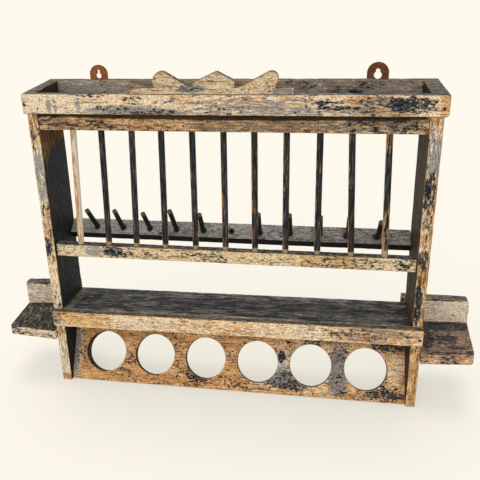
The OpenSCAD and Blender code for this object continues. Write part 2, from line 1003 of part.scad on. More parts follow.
module right_wing_back() {
    low = right_wing_z - wing_t;
    top = right_wing_z + right_back_h;
    color("#a59a86")
        difference() {
            upright(panel_d, right_back_t)
                difference() {
                    translate([right_back_x, low])
                        square([right_wing_x - right_back_x, top - low]);
                    translate([right_wing_x, top])
                        rotate([0, 0, 180])
                            corner_waste(right_back_r);
                }
            wing_nail_run()
                nail_hole(nail_l);
        }
}

module wing_nails() {
    color("#3a3330")
        wing_nail_run()
            nail(nail_l);
}

/* ---- Hanger plates ---- */

// An arched plate with a keyhole, middle at x, and its two countersunk holes
module hanger_plate(x, w, up, key_d, slot_w) {
    key_z = tray_top + key_up;
    foot_z = tray_top - hanger_lap;
    crown_z = tray_top + up - w / 2;
    color("#8a5530")
        difference() {
            upright(wall_y - hanger_t, hanger_t)
                difference() {
                    union() {
                        translate([x - w / 2, foot_z])
                            square([w, crown_z - foot_z]);
                        translate([x, crown_z])
                            circle(w / 2);
                    }
                    translate([x, key_z])
                        circle(key_d / 2);
                    translate([x - slot_w / 2, key_z])
                        square([slot_w, slot_rise - slot_w / 2]);
                    translate([x, key_z + slot_rise - slot_w / 2])
                        circle(slot_w / 2);
                }
            hanger_screw_run(metal_fit);
        }
}

// The shallow pocket in the back board that takes the foot of a plate
module hanger_pocket(x, w) {
    half = w / 2 + metal_fit;
    block(
        [x - half, wall_y - hanger_t, tray_top - hanger_lap],
        [x + half, wall_y + 1, tray_top + 1]
    );
}

// Countersunk screws, flush with the plates' backs; fit widens them for their holes
module hanger_screw_run(fit) {
    shank = screw_d + 2 * fit;
    head = screw_head_d + 2 * fit;
    for (x = [left_hanger_x, right_hanger_x], drop = [screw_drop, screw_drop + screw_pitch])
        translate([x, wall_y, tray_top - drop])
            rotate([90, 0, 0]) {
                cylinder(d1 = head, d2 = shank, h = hanger_t);
                cylinder(d = shank, h = screw_l);
            }
}

module left_hanger_plate() {
    hanger_plate(left_hanger_x, left_hanger_w, left_hanger_up, left_key_d, left_slot_w);
}

module right_hanger_plate() {
    hanger_plate(right_hanger_x, right_hanger_w, right_hanger_up, right_key_d, right_slot_w);
}

module hanger_screws() {
    color("#5a4030")
        hanger_screw_run(0);
}

/* ---- The pieces ---- */

placed() tray_front_board();
placed() tray_back_board();
placed() tray_end(tray_x0, tray_in0);  // tray_left_end
placed() tray_end(tray_in1, tray_x1);  // tray_right_end
placed() tray_floor();
placed() crest_board();
placed() crest_pins();
placed() left_side_panel();
placed() right_side_panel();
placed() top_front_rail();
placed() lower_front_rail();
placed() dowel(0);  // dowel_01
placed() dowel(1);  // dowel_02
placed() dowel(2);  // dowel_03
placed() dowel(3);  // dowel_04
placed() dowel(4);  // dowel_05
placed() dowel(5);  // dowel_06
placed() dowel(6);  // dowel_07
placed() dowel(7);  // dowel_08
placed() dowel(8);  // dowel_09
placed() dowel(9);  // dowel_10
placed() dowel(10);  // dowel_11
placed() peg_rail();
placed() peg(0);  // peg_01
placed() peg(1);  // peg_02
placed() peg(2);  // peg_03
placed() peg(3);  // peg_04
placed() peg(4);  // peg_05
placed() peg(6);  // peg_07
placed() peg(7);  // peg_08
placed() peg(8);  // peg_09
placed() peg(9);  // peg_10
placed() peg(10);  // peg_11
placed() shelf_board();
placed() shelf_front_strip();
placed() apron_board();
placed() left_wing_shelf();
placed() left_wing_back();
placed() right_wing_shelf();
placed() right_wing_back();
placed() left_hanger_plate();
placed() right_hanger_plate();
placed() hanger_screws();
placed() tray_nails();
placed() rail_nails();
placed() peg_rail_nails();
placed() strip_nails();
placed() shelf_nails();
placed() apron_nails();
placed() wing_nails();
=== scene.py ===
"""Old painted wall plate rack: worn boards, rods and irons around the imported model."""

import itertools
import logging
import math
from collections.abc import Callable, Iterator
from dataclasses import dataclass, field
from enum import Enum
from functools import cache, partial

import bmesh
import bpy
import numpy as np
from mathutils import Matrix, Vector, noise


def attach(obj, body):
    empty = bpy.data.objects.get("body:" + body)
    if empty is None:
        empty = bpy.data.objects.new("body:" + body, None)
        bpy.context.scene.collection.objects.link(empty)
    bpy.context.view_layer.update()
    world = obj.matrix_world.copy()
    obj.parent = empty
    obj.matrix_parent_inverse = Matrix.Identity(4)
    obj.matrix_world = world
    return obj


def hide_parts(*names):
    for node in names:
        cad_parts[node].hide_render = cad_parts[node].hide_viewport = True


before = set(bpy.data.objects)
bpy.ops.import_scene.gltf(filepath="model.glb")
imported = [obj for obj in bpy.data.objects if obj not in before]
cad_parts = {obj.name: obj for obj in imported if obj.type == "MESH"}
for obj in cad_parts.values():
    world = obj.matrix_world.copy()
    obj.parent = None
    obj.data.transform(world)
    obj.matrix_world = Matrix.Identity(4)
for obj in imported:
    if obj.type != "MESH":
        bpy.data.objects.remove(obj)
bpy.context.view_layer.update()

MM = 0.001
LOG = logging.getLogger("plate_rack")

# Points closer than the first, in metres, are one, and those within the second along a rod are one ring
SAME_SPOT = 1e-6
SAME_RING = 2e-5
# Faces that turn by less than the first are one, and edges that turn by more than the second stay sharp
FLAT_TURN = math.radians(0.4)
SHARP_TURN = math.radians(50)
# Cosines between a face's normal and the way it is said to look
NEARLY_ALONG = 0.9
WITHIN_45_DEG = 0.71
# Where the cells of a worn corner are cut, as shares of its radius
CORNER_CUTS = (0.15, 0.35, 0.6, 1.0)

Triple = tuple[float, float, float]
Plane = tuple[Vector, float]
Corner = tuple[Plane, Plane, float]
# Adds a node to one tree, as put() does
Adder = Callable[..., bpy.types.Node]


def linear(code: str) -> tuple[float, float, float, float]:
    """Turn an sRGB hex colour into the linear light that shaders count in.

    Args:
        code: colour as "#RRGGBB".

    Returns:
        Red, green, blue and an alpha of 1.
    """
    parts = [int(code[i:i + 2], 16) / 255 for i in (1, 3, 5)]
    light = [p / 12.92 if p <= 0.04045 else ((p + 0.055) / 1.055) ** 2.4 for p in parts]
    return (light[0], light[1], light[2], 1.0)


def put(tree: bpy.types.NodeTree, kind: str, feeds: dict | None = None,
        **settings: object) -> bpy.types.Node:
    """Add a shader node, set it and feed it.

    Args:
        tree: node tree that takes the node.
        kind: Blender's name of the node, without its "ShaderNode".
        feeds: input name or number to a value, a socket, or a node whose first output counts.
        settings: properties of the node itself.

    Returns:
        The new node.
    """
    node = tree.nodes.new("ShaderNode" + kind)
    for name, value in settings.items():
        setattr(node, name, value)
    for key, value in (feeds or {}).items():
        if isinstance(value, bpy.types.Node):
            value = value.outputs[0]
        if isinstance(value, bpy.types.NodeSocket):
            tree.links.new(value, node.inputs[key])
        else:
            node.inputs[key].default_value = value
    return node


def span(start: float, end: float, least: float = 0.0, most: float = 1.0) -> dict[str, float]:
    """Name the limits of a Map Range node: start to end is drawn out to least to most."""
    return {"From Min": start, "From Max": end, "To Min": least, "To Max": most}


def blank(owner: bpy.types.Material | bpy.types.World) -> Adder:
    """Clear the nodes of a material or a sky.

    Args:
        owner: the material or sky.

    Returns:
        Function that adds new nodes to it.
    """
    owner.use_nodes = True
    owner.node_tree.nodes.clear()
    return partial(put, owner.node_tree)


def rack_point(add: Adder, unit_mm: float = 1.0) -> bpy.types.Node:
    """Read where a point lies in the rack's own frame, in units of so many millimetres."""
    where = add("TexCoord").outputs["Object"]
    return add("VectorMath", {0: where, "Scale": 1 / (MM * unit_mm)}, operation="SCALE")


class Grain(Enum):
    """Way that a board's fibres run, as the order in which its x, y and z are read."""

    ALONG = "XYZ"
    UPRIGHT = "ZXY"
    FRONT_TO_BACK = "YXZ"


class Side(Enum):
    """Faces of a board, by the way they look."""

    FRONT = (0, -1, 0)
    BACK = (0, 1, 0)
    TOP = (0, 0, 1)
    UNDER = (0, 0, -1)
    LEFT = (-1, 0, 0)
    RIGHT = (1, 0, 0)


@dataclass(frozen=True)
class Patch:
    """Ellipsoid where paint, bloom, wash, or grime and painted shade lie thicker, or thinner where
    negative.

    It has its middle at x and z, and reaches that wide and high. Its y and its reach from front to
    back are its depth, or else its finish's depth.
    """

    x: float
    z: float
    wide: float
    high: float
    paint: float = 0.0
    bloom: float = 0.0
    wash: float = 0.0
    grime_and_shade: float = 0.0
    depth: tuple[float, float] | None = None


@dataclass(frozen=True)
class AgedPine:
    """Brush-painted pine, rubbed bare and limed by age.

    The paint gives crisp dark flakes drawn out along the grain, the wash gives thin blue-grey
    streaks, the bloom gives soft pale ones, the grime darkens with dirt the corners that no cloth
    reaches and lays painted shade under overhangs, and the rubbed arrises show orange wood.
    """

    name: str
    grain: Grain = Grain.ALONG
    light: str = "#EBC08A"
    dark: str = "#8F6036"
    bloom_tone: str = "#ECDCC2"
    wash_tone: str = "#777D85"
    paint: str = "#181B20"
    dusty_paint: str = "#434A53"
    arris_tone: str = "#B37B44"
    cover: float = 0.3
    bloom: float = 0.4
    wash: float = 0.3
    grime_and_shade: float = 0.0
    bare_arris: float = 0.75
    pitted: float = 0.25
    flake_mm: float = 4.2
    flake_stretch: float = 2.4
    seed: float = 0.0
    depth: tuple[float, float] = (-65.0, 40.0)
    patches: tuple[Patch, ...] = ()

    def pattern(self, add: Adder, place: bpy.types.Node, width_mm: float, stretch: float,
                detail: float, shift: float) -> bpy.types.Node:
        """Noise drawn out along the fibres.

        Args:
            add: adds a node to the material.
            place: point in millimetres, with the fibres along its x.
            width_mm: width of one mark across the fibres.
            stretch: length of a mark over its width.
            detail: octaves of finer marks in it.
            shift: moves it off the material's other patterns.

        Returns:
            Node whose first output is the noise, about 0.5 on average.
        """
        across = 1 / width_mm
        drawn = add("VectorMath", {0: place, 1: (across / stretch, across, across)}, operation="MULTIPLY")
        return add("TexNoise", {"Vector": drawn, "W": self.seed + shift, "Scale": 1.0,
                   "Detail": detail, "Roughness": 0.65}, noise_dimensions="4D")

    def level(self, add: Adder, rack: bpy.types.Node, kind: str) -> bpy.types.Node:
        """How much paint, bloom, wash, or grime and painted shade lies at each point, before its pattern
        breaks it up.

        Args:
            add: adds a node to the material.
            rack: point in the rack's own frame, in millimetres.
            kind: name of the patches' field that is asked for.

        Returns:
            Node whose first output is the level.
        """
        total = add("Value")
        total.outputs[0].default_value = self.cover if kind == "paint" else getattr(self, kind)
        for patch in self.patches:
            amount = getattr(patch, kind)
            if not amount:
                continue
            y, deep = patch.depth or self.depth
            off = add("VectorMath", {0: rack, 1: (patch.x, y, patch.z)}, operation="SUBTRACT")
            scaled = add("VectorMath", {0: off, 1: (1 / patch.wide, 1 / deep, 1 / patch.high)},
                         operation="MULTIPLY")
            far = add("VectorMath", {0: scaled}, operation="LENGTH")
            inside = add("MapRange", {"Value": far.outputs["Value"]} | span(1.2, 0.5),
                         interpolation_type="SMOOTHSTEP")
            total = add("Math", {0: inside, 1: amount, 2: total}, operation="MULTIPLY_ADD")
        return total

    @cache
    def material(self) -> bpy.types.Material:
        """Build the finish as a material, at its first use only."""
        material = bpy.data.materials.new(self.name)
        add = blank(material)
        rack = rack_point(add)
        axes = add("SeparateXYZ", {0: rack})
        order = [axes.outputs["XYZ".index(a)] for a in self.grain.value]
        place = add("CombineXYZ", {0: order[0], 1: order[1], 2: order[2]})
        # Takes the width in millimetres, stretch, detail and shift of each pattern below
        marks = partial(self.pattern, add, place)
        edge = add("Attribute", attribute_name="edge_mm").outputs["Fac"]

        # Bare pine: fibres over broad warm and cool bands, with dark open cracks. Real fibres are
        # finer than a pixel of the render, so they are drawn 2.4 mm wide.
        fibres = marks(2.4, 9, 3, 1.3)
        bands = marks(12, 4, 4, 4.7)
        tone = add("Math", {0: fibres, 1: bands}, operation="ADD")
        tone = add("MapRange", {"Value": tone} | span(0.84, 1.14))
        wood = add("MixRGB", {0: tone, 1: linear(self.dark), 2: linear(self.light)})
        cracks = marks(2.6, 22, 2, 8.1)
        cracks = add("MapRange", {"Value": cracks} | span(0.60, 0.66, 0.0, 0.75))

        # Pale bloom: streaks of old limewash in the grain
        milk = marks(3.4, 4, 5, 11.9)
        milk = add("Math", {0: milk, 1: 2.0, 2: self.level(add, rack, "bloom")}, operation="MULTIPLY_ADD")
        milk = add("MapRange", {"Value": milk} | span(1.28, 1.52, 0.0, 0.9),
                   interpolation_type="SMOOTHSTEP")
        pale = add("MixRGB", {0: milk, 1: wood, 2: linear(self.bloom_tone)})
        pale = add("MixRGB", {0: cracks, 1: pale, 2: linear("#4A3626")})

        # Wash: paint rubbed thin, left as blue-grey streaks in the hollows of the grain
        smear = marks(2.8, 8, 5, 14.2)
        smear = add("Math", {0: smear, 1: 2.0, 2: self.level(add, rack, "wash")}, operation="MULTIPLY_ADD")
        smear = add("MapRange", {"Value": smear} | span(1.38, 1.58, 0.0, 0.75),
                    interpolation_type="SMOOTHSTEP")
        washed = add("MixRGB", {0: smear, 1: pale, 2: linear(self.wash_tone)})

        # Paint: small flakes with crisp edges in wide islands, specks, and a haze round them
        flakes = marks(self.flake_mm, self.flake_stretch, 6, 17.3)
        islands = marks(24, 2.4, 3, 23.9)
        laid = add("Math", {0: flakes, 1: 2.4, 2: self.level(add, rack, "paint")}, operation="MULTIPLY_ADD")
        laid = add("Math", {0: islands, 1: 1.0, 2: laid}, operation="MULTIPLY_ADD")
        haze = add("MapRange", {"Value": laid} | span(1.95, 2.25, 0.0, 0.3),
                   interpolation_type="SMOOTHSTEP")
        thick = add("MapRange", {"Value": laid} | span(2.2, 2.26), interpolation_type="SMOOTHSTEP")
        specks = marks(2.6, 1.5, 1, 26.5)
        specks = add("Math", {0: specks, 1: 3.0, 2: laid}, operation="MULTIPLY_ADD")
        specks = add("MapRange", {"Value": specks} | span(3.95, 4.1, 0.0, 0.85))
        thick = add("Math", {0: thick, 1: specks}, operation="MAXIMUM")
        pits = marks(3.0, 2.2, 2, 27.7)
        pits = add("MapRange", {"Value": pits} | span(0.57, 0.62, 1.0, self.pitted))
        thick = add("Math", {0: thick, 1: pits}, operation="MULTIPLY")
        dust = marks(2.8, 6, 4, 29.1)
        dust = add("MapRange", {"Value": dust} | span(0.44, 0.62))
        coat = add("MixRGB", {0: dust, 1: linear(self.paint), 2: linear(self.dusty_paint)})
        hazy = add("MixRGB", {0: haze, 1: washed, 2: linear(self.dusty_paint)})
        painted = add("MixRGB", {0: thick, 1: hazy, 2: coat})

        # Grit: pores and pin-sized chips, drawn 2 mm wide so that they show
        grit = marks(2.0, 1.8, 2, 37.1)
        grit = add("MapRange", {"Value": grit} | span(0.36, 0.64, 0.6, 1.4))
        painted = add("VectorMath", {0: painted, "Scale": grit}, operation="SCALE")

        # Grime and painted shade: brown-black dirt in corners and under edges, and painted shade under
        # overhangs
        dirt_and_shade = add("Math", {0: islands, 1: 0.5, 2: self.level(add, rack, "grime_and_shade")},
                   operation="MULTIPLY_ADD")
        dirt_and_shade = add("MapRange", {"Value": dirt_and_shade} | span(0.3, 1.1, 0.0, 0.92))
        painted = add("MixRGB", {0: dirt_and_shade, 1: painted, 2: linear("#1F1A12")})

        # Rubbed arrises: bare orange wood in a band 1 to 3 mm wide that comes and goes
        rub = marks(6, 4, 3, 31.7)
        rub = add("Math", {0: rub, 1: -9.0, 2: 6.4}, operation="MULTIPLY_ADD")
        rub = add("Math", {0: edge, 1: rub}, operation="ADD")
        rub = add("MapRange", {"Value": rub} | span(3.4, 2.4, 0.0, self.bare_arris))
        worn = add("MixRGB", {0: tone, 1: linear(self.arris_tone), 2: linear(self.light)})
        colour = add("MixRGB", {0: rub, 1: painted, 2: worn})

        rough = add("MapRange", {"Value": thick} | span(0.0, 1.0, 0.9, 0.65))
        height = add("Math", {0: thick, 1: 0.3, 2: fibres}, operation="MULTIPLY_ADD")
        height = add("Math", {0: cracks, 1: -0.5, 2: height}, operation="MULTIPLY_ADD")
        bump = add("Bump", {"Strength": 0.7, "Distance": 0.9 * MM, "Height": height})
        skin = add("BsdfPrincipled", {"Base Color": colour, "Roughness": rough, "Normal": bump,
                   "Specular IOR Level": 0.1})
        add("OutputMaterial", {"Surface": skin})
        return material


# Marks per millimetre along x, y and z of a rod: long worn lines, and chips a few millimetres long
ROD_LINES: Triple = (0.4, 0.4, 0.035)
ROD_CHIPS: Triple = (0.3, 0.3, 0.16)
# Wear at which a rod without cover is bare, how soft that edge is, what a worn end adds to the wear,
# and over how many mm that fades
BARE_FROM = 1.12
BARE_SOFT = 0.05
END_WEAR = 0.42
END_FADE_MM = 12.0


@dataclass(frozen=True)
class RodPaint:
    """Painted beech or pine rod, rubbed where plates and hands have slid along it.

    Dark paint with long worn lines on its flanks, lighter streaks of painted sheen, and a bare pale
    collar where the paint never reached down to the rail.
    """

    name: str
    paint: str = "#0B0D0F"
    # Lighter copy of the paint colour, laid in streaks as a painted sheen
    painted_sheen: str = "#3D454C"
    bare: str = "#A86E3C"
    collar: str = "#A68B68"
    cover: float = 0.86
    worn_way: Triple = (0.97, 0.24, 0.0)
    worn_above: float = 2000.0
    worn_below: float = -2000.0
    collar_mm: float = 8.0
    tip: str = ""
    tip_mm: float = 0.0
    seed: float = 0.0

    @cache
    def material(self) -> bpy.types.Material:
        """Build the finish as a material, at its first use only."""
        material = bpy.data.materials.new(self.name)
        add = blank(material)
        rack = rack_point(add)
        drawn = add("VectorMath", {0: rack, 1: ROD_LINES}, operation="MULTIPLY")
        streaks = add("TexNoise", {"Vector": drawn, "W": self.seed, "Scale": 1.0, "Detail": 3.0},
                      noise_dimensions="4D")
        fine = add("VectorMath", {0: rack, 1: ROD_CHIPS}, operation="MULTIPLY")
        chips = add("TexNoise", {"Vector": fine, "W": self.seed + 5.0, "Scale": 1.0, "Detail": 4.0},
                    noise_dimensions="4D")
        facing = add("NewGeometry").outputs["Normal"]
        flank = add("VectorMath", {0: facing, 1: self.worn_way}, operation="DOT_PRODUCT")
        flank = add("Math", {0: flank.outputs["Value"]}, operation="ABSOLUTE")
        flank = add("MapRange", {"Value": flank} | span(0.5, 0.95, 0.0, 0.35))
        wear = add("Math", {0: streaks, 1: 2.4, 2: flank}, operation="MULTIPLY_ADD")
        wear = add("Math", {0: chips, 1: 0.8, 2: wear}, operation="MULTIPLY_ADD")
        height = add("SeparateXYZ", {0: rack}).outputs["Z"]
        for level, fade in ((self.worn_above, END_FADE_MM), (self.worn_below, -END_FADE_MM)):
            past = add("MapRange", {"Value": height} | span(level - fade, level + fade, 0.0, END_WEAR))
            wear = add("Math", {0: wear, 1: past}, operation="ADD")
        limit = BARE_FROM + self.cover
        wear = add("MapRange", {"Value": wear} | span(limit - BARE_SOFT, limit + BARE_SOFT))
        # Painted sheen: streaks where the paint turns to its lighter sheen colour
        coat = add("MapRange", {"Value": streaks} | span(0.42, 0.62))
        coat = add("MixRGB", {0: coat, 1: linear(self.paint), 2: linear(self.painted_sheen)})
        wood = add("MapRange", {"Value": chips} | span(0.5, 0.75))
        wood = add("MixRGB", {0: wood, 1: linear(self.bare), 2: linear(self.collar)})
        colour = add("MixRGB", {0: wear, 1: coat, 2: wood})
        # Collar and tip: how far off they are, how ragged the chips make their edge, where it starts
        # and where it is full
        for mark, ragged, start, full, tone in (
            ("shown_mm", 9.0, self.collar_mm + 5.5, self.collar_mm + 4.0, self.collar),
            ("tip_mm", 6.0, self.tip_mm + 4.0, self.tip_mm + 2.0, self.tip),
        ):
            if tone:
                far = add("Attribute", attribute_name=mark).outputs["Fac"]
                far = add("Math", {0: chips, 1: ragged, 2: far}, operation="MULTIPLY_ADD")
                band = add("MapRange", {"Value": far} | span(start, full))
                colour = add("MixRGB", {0: band, 1: colour, 2: linear(tone)})
        bump = add("Bump", {"Strength": 0.5, "Distance": 0.5 * MM, "Height": chips})
        rough = add("MapRange", {"Value": chips} | span(0.0, 1.0, 0.45, 0.85))
        skin = add("BsdfPrincipled", {"Base Color": colour, "Roughness": rough, "Normal": bump,
                   "Specular IOR Level": 0.2})
        add("OutputMaterial", {"Surface": skin})
        return material


@dataclass(frozen=True)
class RustyIron:
    """Cut sheet steel or drawn wire, rusted through its black skin.

    Mottled orange and brown scale with a dull metal glint where it is rubbed.
    """

    name: str
    rust: str = "#A0562F"
    scale_tone: str = "#5A3220"
    glint: str = "#8C7A6C"
    mottle_mm: float = 5.0
    seed: float = 0.0

    @cache
    def material(self) -> bpy.types.Material:
        """Build the finish as a material, at its first use only."""
        material = bpy.data.materials.new(self.name)
        add = blank(material)
        rack = rack_point(add, self.mottle_mm)
        mottle = add("TexNoise", {"Vector": rack, "W": self.seed, "Scale": 1.0, "Detail": 5.0,
                     "Roughness": 0.7}, noise_dimensions="4D")
        pits = add("TexNoise", {"Vector": rack, "W": self.seed + 9.0, "Scale": 4.0, "Detail": 3.0},
                   noise_dimensions="4D")
        spread = add("MapRange", {"Value": mottle} | span(0.36, 0.62))
        colour = add("MixRGB", {0: spread, 1: linear(self.scale_tone), 2: linear(self.rust)})
        rubbed = add("MapRange", {"Value": pits} | span(0.62, 0.72, 0.0, 0.6))
        colour = add("MixRGB", {0: rubbed, 1: colour, 2: linear(self.glint)})
        rough = add("MapRange", {"Value": rubbed} | span(0.0, 1.0, 0.9, 0.5))
        bump = add("Bump", {"Strength": 0.7, "Distance": 0.4 * MM, "Height": pits})
        skin = add("BsdfPrincipled", {"Base Color": colour, "Roughness": rough, "Metallic": rubbed,
                   "Normal": bump})
        add("OutputMaterial", {"Surface": skin})
        return material


Finish = AgedPine | RodPaint | RustyIron


def into_scene(name: str, data: bpy.types.ID) -> bpy.types.Object:
    """Put a mesh, lamp or camera in the scene.

    Args:
        name: name of the object.
        data: what it shows.

    Returns:
        The new object.
    """
    thing = bpy.data.objects.new(name, data)
    bpy.context.scene.collection.objects.link(thing)
    return thing


def stand_in(name: str, mesh: bpy.types.Mesh, node: str) -> bpy.types.Object:
    """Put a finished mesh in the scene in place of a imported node.

    Args:
        name: name of the piece.
        mesh: its mesh, in metres in the rack's frame.
        node: the node it stands for.

    Returns:
        The new piece, riding on the rack.
    """
    piece = into_scene(name, mesh)
    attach(piece, "root")
    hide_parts(node)
    return piece


def smooth(mesh: bmesh.types.BMesh, data: bpy.types.Mesh) -> None:
    """Hand the finished faces over, smooth but for their sharp edges.

    Args:
        mesh: the faces, which are freed.
        data: mesh that takes them.
    """
    for face in mesh.faces:
        face.smooth = True
    mesh.to_mesh(data)
    mesh.free()
    data.set_sharp_from_angle(angle=SHARP_TURN)


def cut(mesh: bmesh.types.BMesh, at: Vector, normal: Vector) -> None:
    """Cut all faces of a mesh along the plane through a point with a normal."""
    everything = mesh.verts[:] + mesh.edges[:] + mesh.faces[:]
    bmesh.ops.bisect_plane(mesh, geom=everything, dist=SAME_SPOT, plane_co=at, plane_no=normal)


@dataclass
class WornBoard:
    """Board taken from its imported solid, with rubbed arrises, small chips and an uneven face.

    Wear only goes inwards, so the board keeps its real size.
    """

    node: str
    finish: Finish
    sides: dict[Side, Finish] = field(default_factory=dict)
    step_mm: float = 8.0
    arris_mm: float = 1.9
    rub_mm: float = 0.8
    chip_mm: float = 1.6
    hollow_mm: float = 0.3
    least_face_mm2: float = 30.0
    least_turn_deg: float = 28.0
    hollow_reach_mm: float = 45.0
    chip_reach_mm: float = 14.0
    chips_from: float = 0.25
    arris_reach_mm: float = 2.5
    far_mm: float = 30.0
    corners: tuple[tuple[Side, Side, float], ...] = ()

    def worn_corners(self, mesh: bmesh.types.BMesh) -> list[Corner]:
        """Find the corners that are worn away more than the rest.

        Args:
            mesh: the joined solid.

        Returns:
            Each corner as its two faces' planes and its radius in metres.
        """
        found = []
        for first, second, radius_mm in self.corners:
            planes = []
            for side in (first, second):
                facing = [f for f in mesh.faces if f.normal.dot(Vector(side.value)) > NEARLY_ALONG]
                face = max(facing, key=lambda f: f.calc_area())
                planes.append((face.normal.copy(), face.normal.dot(face.verts[0].co)))
            found.append((planes[0], planes[1], radius_mm * MM))
        return found

    def round_corners(self, mesh: bmesh.types.BMesh, corners: list[Corner]) -> None:
        """Cut finer cells at the worn corners and draw their points in to a round.

        Args:
            mesh: the gridded solid.
            corners: the worn corners.
        """
        for one, two, radius in corners:
            for (normal, level), share in itertools.product((one, two), CORNER_CUTS):
                cut(mesh, normal * (level - radius * share), normal)
            for vert in mesh.verts:
                reach = [radius - (level - normal.dot(vert.co)) for normal, level in (one, two)]
                out = math.hypot(*reach)
                if min(reach) > 0 and out > radius:
                    vert.co -= (one[0] * reach[0] + two[0] * reach[1]) * (1 - radius / out)

    def solid(self) -> bmesh.types.BMesh:
        """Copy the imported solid, with its triangles joined into flat faces."""
        mesh = bmesh.new()
        mesh.from_mesh(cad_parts[self.node].data)
        bmesh.ops.remove_doubles(mesh, verts=mesh.verts, dist=SAME_SPOT)
        bmesh.ops.dissolve_limit(mesh, angle_limit=FLAT_TURN, verts=mesh.verts, edges=mesh.edges)
        return mesh

    def arrises(self, mesh: bmesh.types.BMesh) -> list[bmesh.types.BMEdge]:
        """Edges between two real faces of the board, leaving out nail and dowel bores.

        Args:
            mesh: the joined solid.

        Returns:
            Edges that hands and years have rubbed.
        """
        least = self.least_face_mm2 * MM * MM
        return [
            edge for edge in mesh.edges
            if len(edge.link_faces) == 2
            and edge.calc_face_angle(0.0) > math.radians(self.least_turn_deg)
            and min(face.calc_area() for face in edge.link_faces) > least
        ]

    def cut_grid(self, mesh: bmesh.types.BMesh) -> None:
        """Cut the faces into cells, so that wear can shape them.

        Args:
            mesh: the solid with its arrises rounded.
        """
        points = np.array([v.co for v in mesh.verts])
        low, high = points.min(0), points.max(0)
        for axis in range(3):
            count = max(2, round((high[axis] - low[axis]) / (self.step_mm * MM)))
            normal = Vector([float(i == axis) for i in range(3)])
            for k in range(1, count):
                cut(mesh, normal * float(low[axis] + (high[axis] - low[axis]) * k / count), normal)

    def wear(self, mesh: bmesh.types.BMesh, segments: np.ndarray) -> None:
        """Push points inwards by hollows, rubbing and chips, and note how far the arris is.

        Args:
            mesh: the gridded solid.
            segments: the arrises' ends as an array of (count, 2, 3).
        """
        mesh.normal_update()
        points = np.array([v.co for v in mesh.verts])
        start, run = segments[:, 0], segments[:, 1] - segments[:, 0]
        length2 = np.maximum((run ** 2).sum(1), 1e-12)
        reach = np.full(len(points), 1.0)
        for a, r, n in zip(start, run, length2):
            t = np.clip(((points - a) @ r) / n, 0, 1)
            reach = np.minimum(reach, np.linalg.norm(points - a - t[:, None] * r, axis=1))
        layer = mesh.verts.layers.float.new("edge_mm")
        # Each board wears in its own way: its name's length and its middle move it through the noise
        shift = Vector((len(self.node) * 3.1, points[:, 0].mean() * 40, points[:, 2].mean() * 40))
        for vert, far in zip(mesh.verts, reach / MM):
            at = vert.co / MM
            slow = 0.5 + 0.5 * noise.noise(at / self.hollow_reach_mm + shift)
            nick = max(0.0, noise.noise(at / self.chip_reach_mm + shift) - self.chips_from)
            nick /= 1 - self.chips_from
            near = math.exp(-(far / self.arris_reach_mm) ** 2)
            depth = self.hollow_mm * slow + near * (self.rub_mm * slow ** 2 + self.chip_mm * nick)
            vert[layer] = min(far, self.far_mm)
            vert.co -= vert.normal * depth * MM

    def paint(self, mesh: bmesh.types.BMesh, data: bpy.types.Mesh) -> None:
        """Give each face its side's finish.

        Args:
            mesh: the worn solid.
            data: mesh that takes the materials.
        """
        data.materials.append(self.finish.material())
        for side, finish in self.sides.items():
            data.materials.append(finish.material())
            way = Vector(side.value)
            for face in mesh.faces:
                if face.normal.dot(way) > WITHIN_45_DEG:
                    face.material_index = len(data.materials) - 1

    def build(self) -> bpy.types.Object:
        """Make the board, dress it and put it in its place."""
        mesh = self.solid()
        mesh.normal_update()
        corners = self.worn_corners(mesh)
        edges = self.arrises(mesh)
        segments = np.array([[v.co[:] for v in e.verts] for e in edges])
        bmesh.ops.bevel(mesh, geom=edges, offset=self.arris_mm * MM, offset_type="OFFSET", segments=3,
                        profile=0.5, affect="EDGES", clamp_overlap=True)
        self.cut_grid(mesh)
        self.round_corners(mesh, corners)
        self.wear(mesh, segments)
        data = bpy.data.meshes.new(self.node + "_worn")
        mesh.normal_update()
        self.paint(mesh, data)
        smooth(mesh, data)
        piece = stand_in(self.node + "_worn", data, self.node)
        even = piece.modifiers.new("even_light", "WEIGHTED_NORMAL")
        even.keep_sharp = True
        even.weight = 80
        return piece


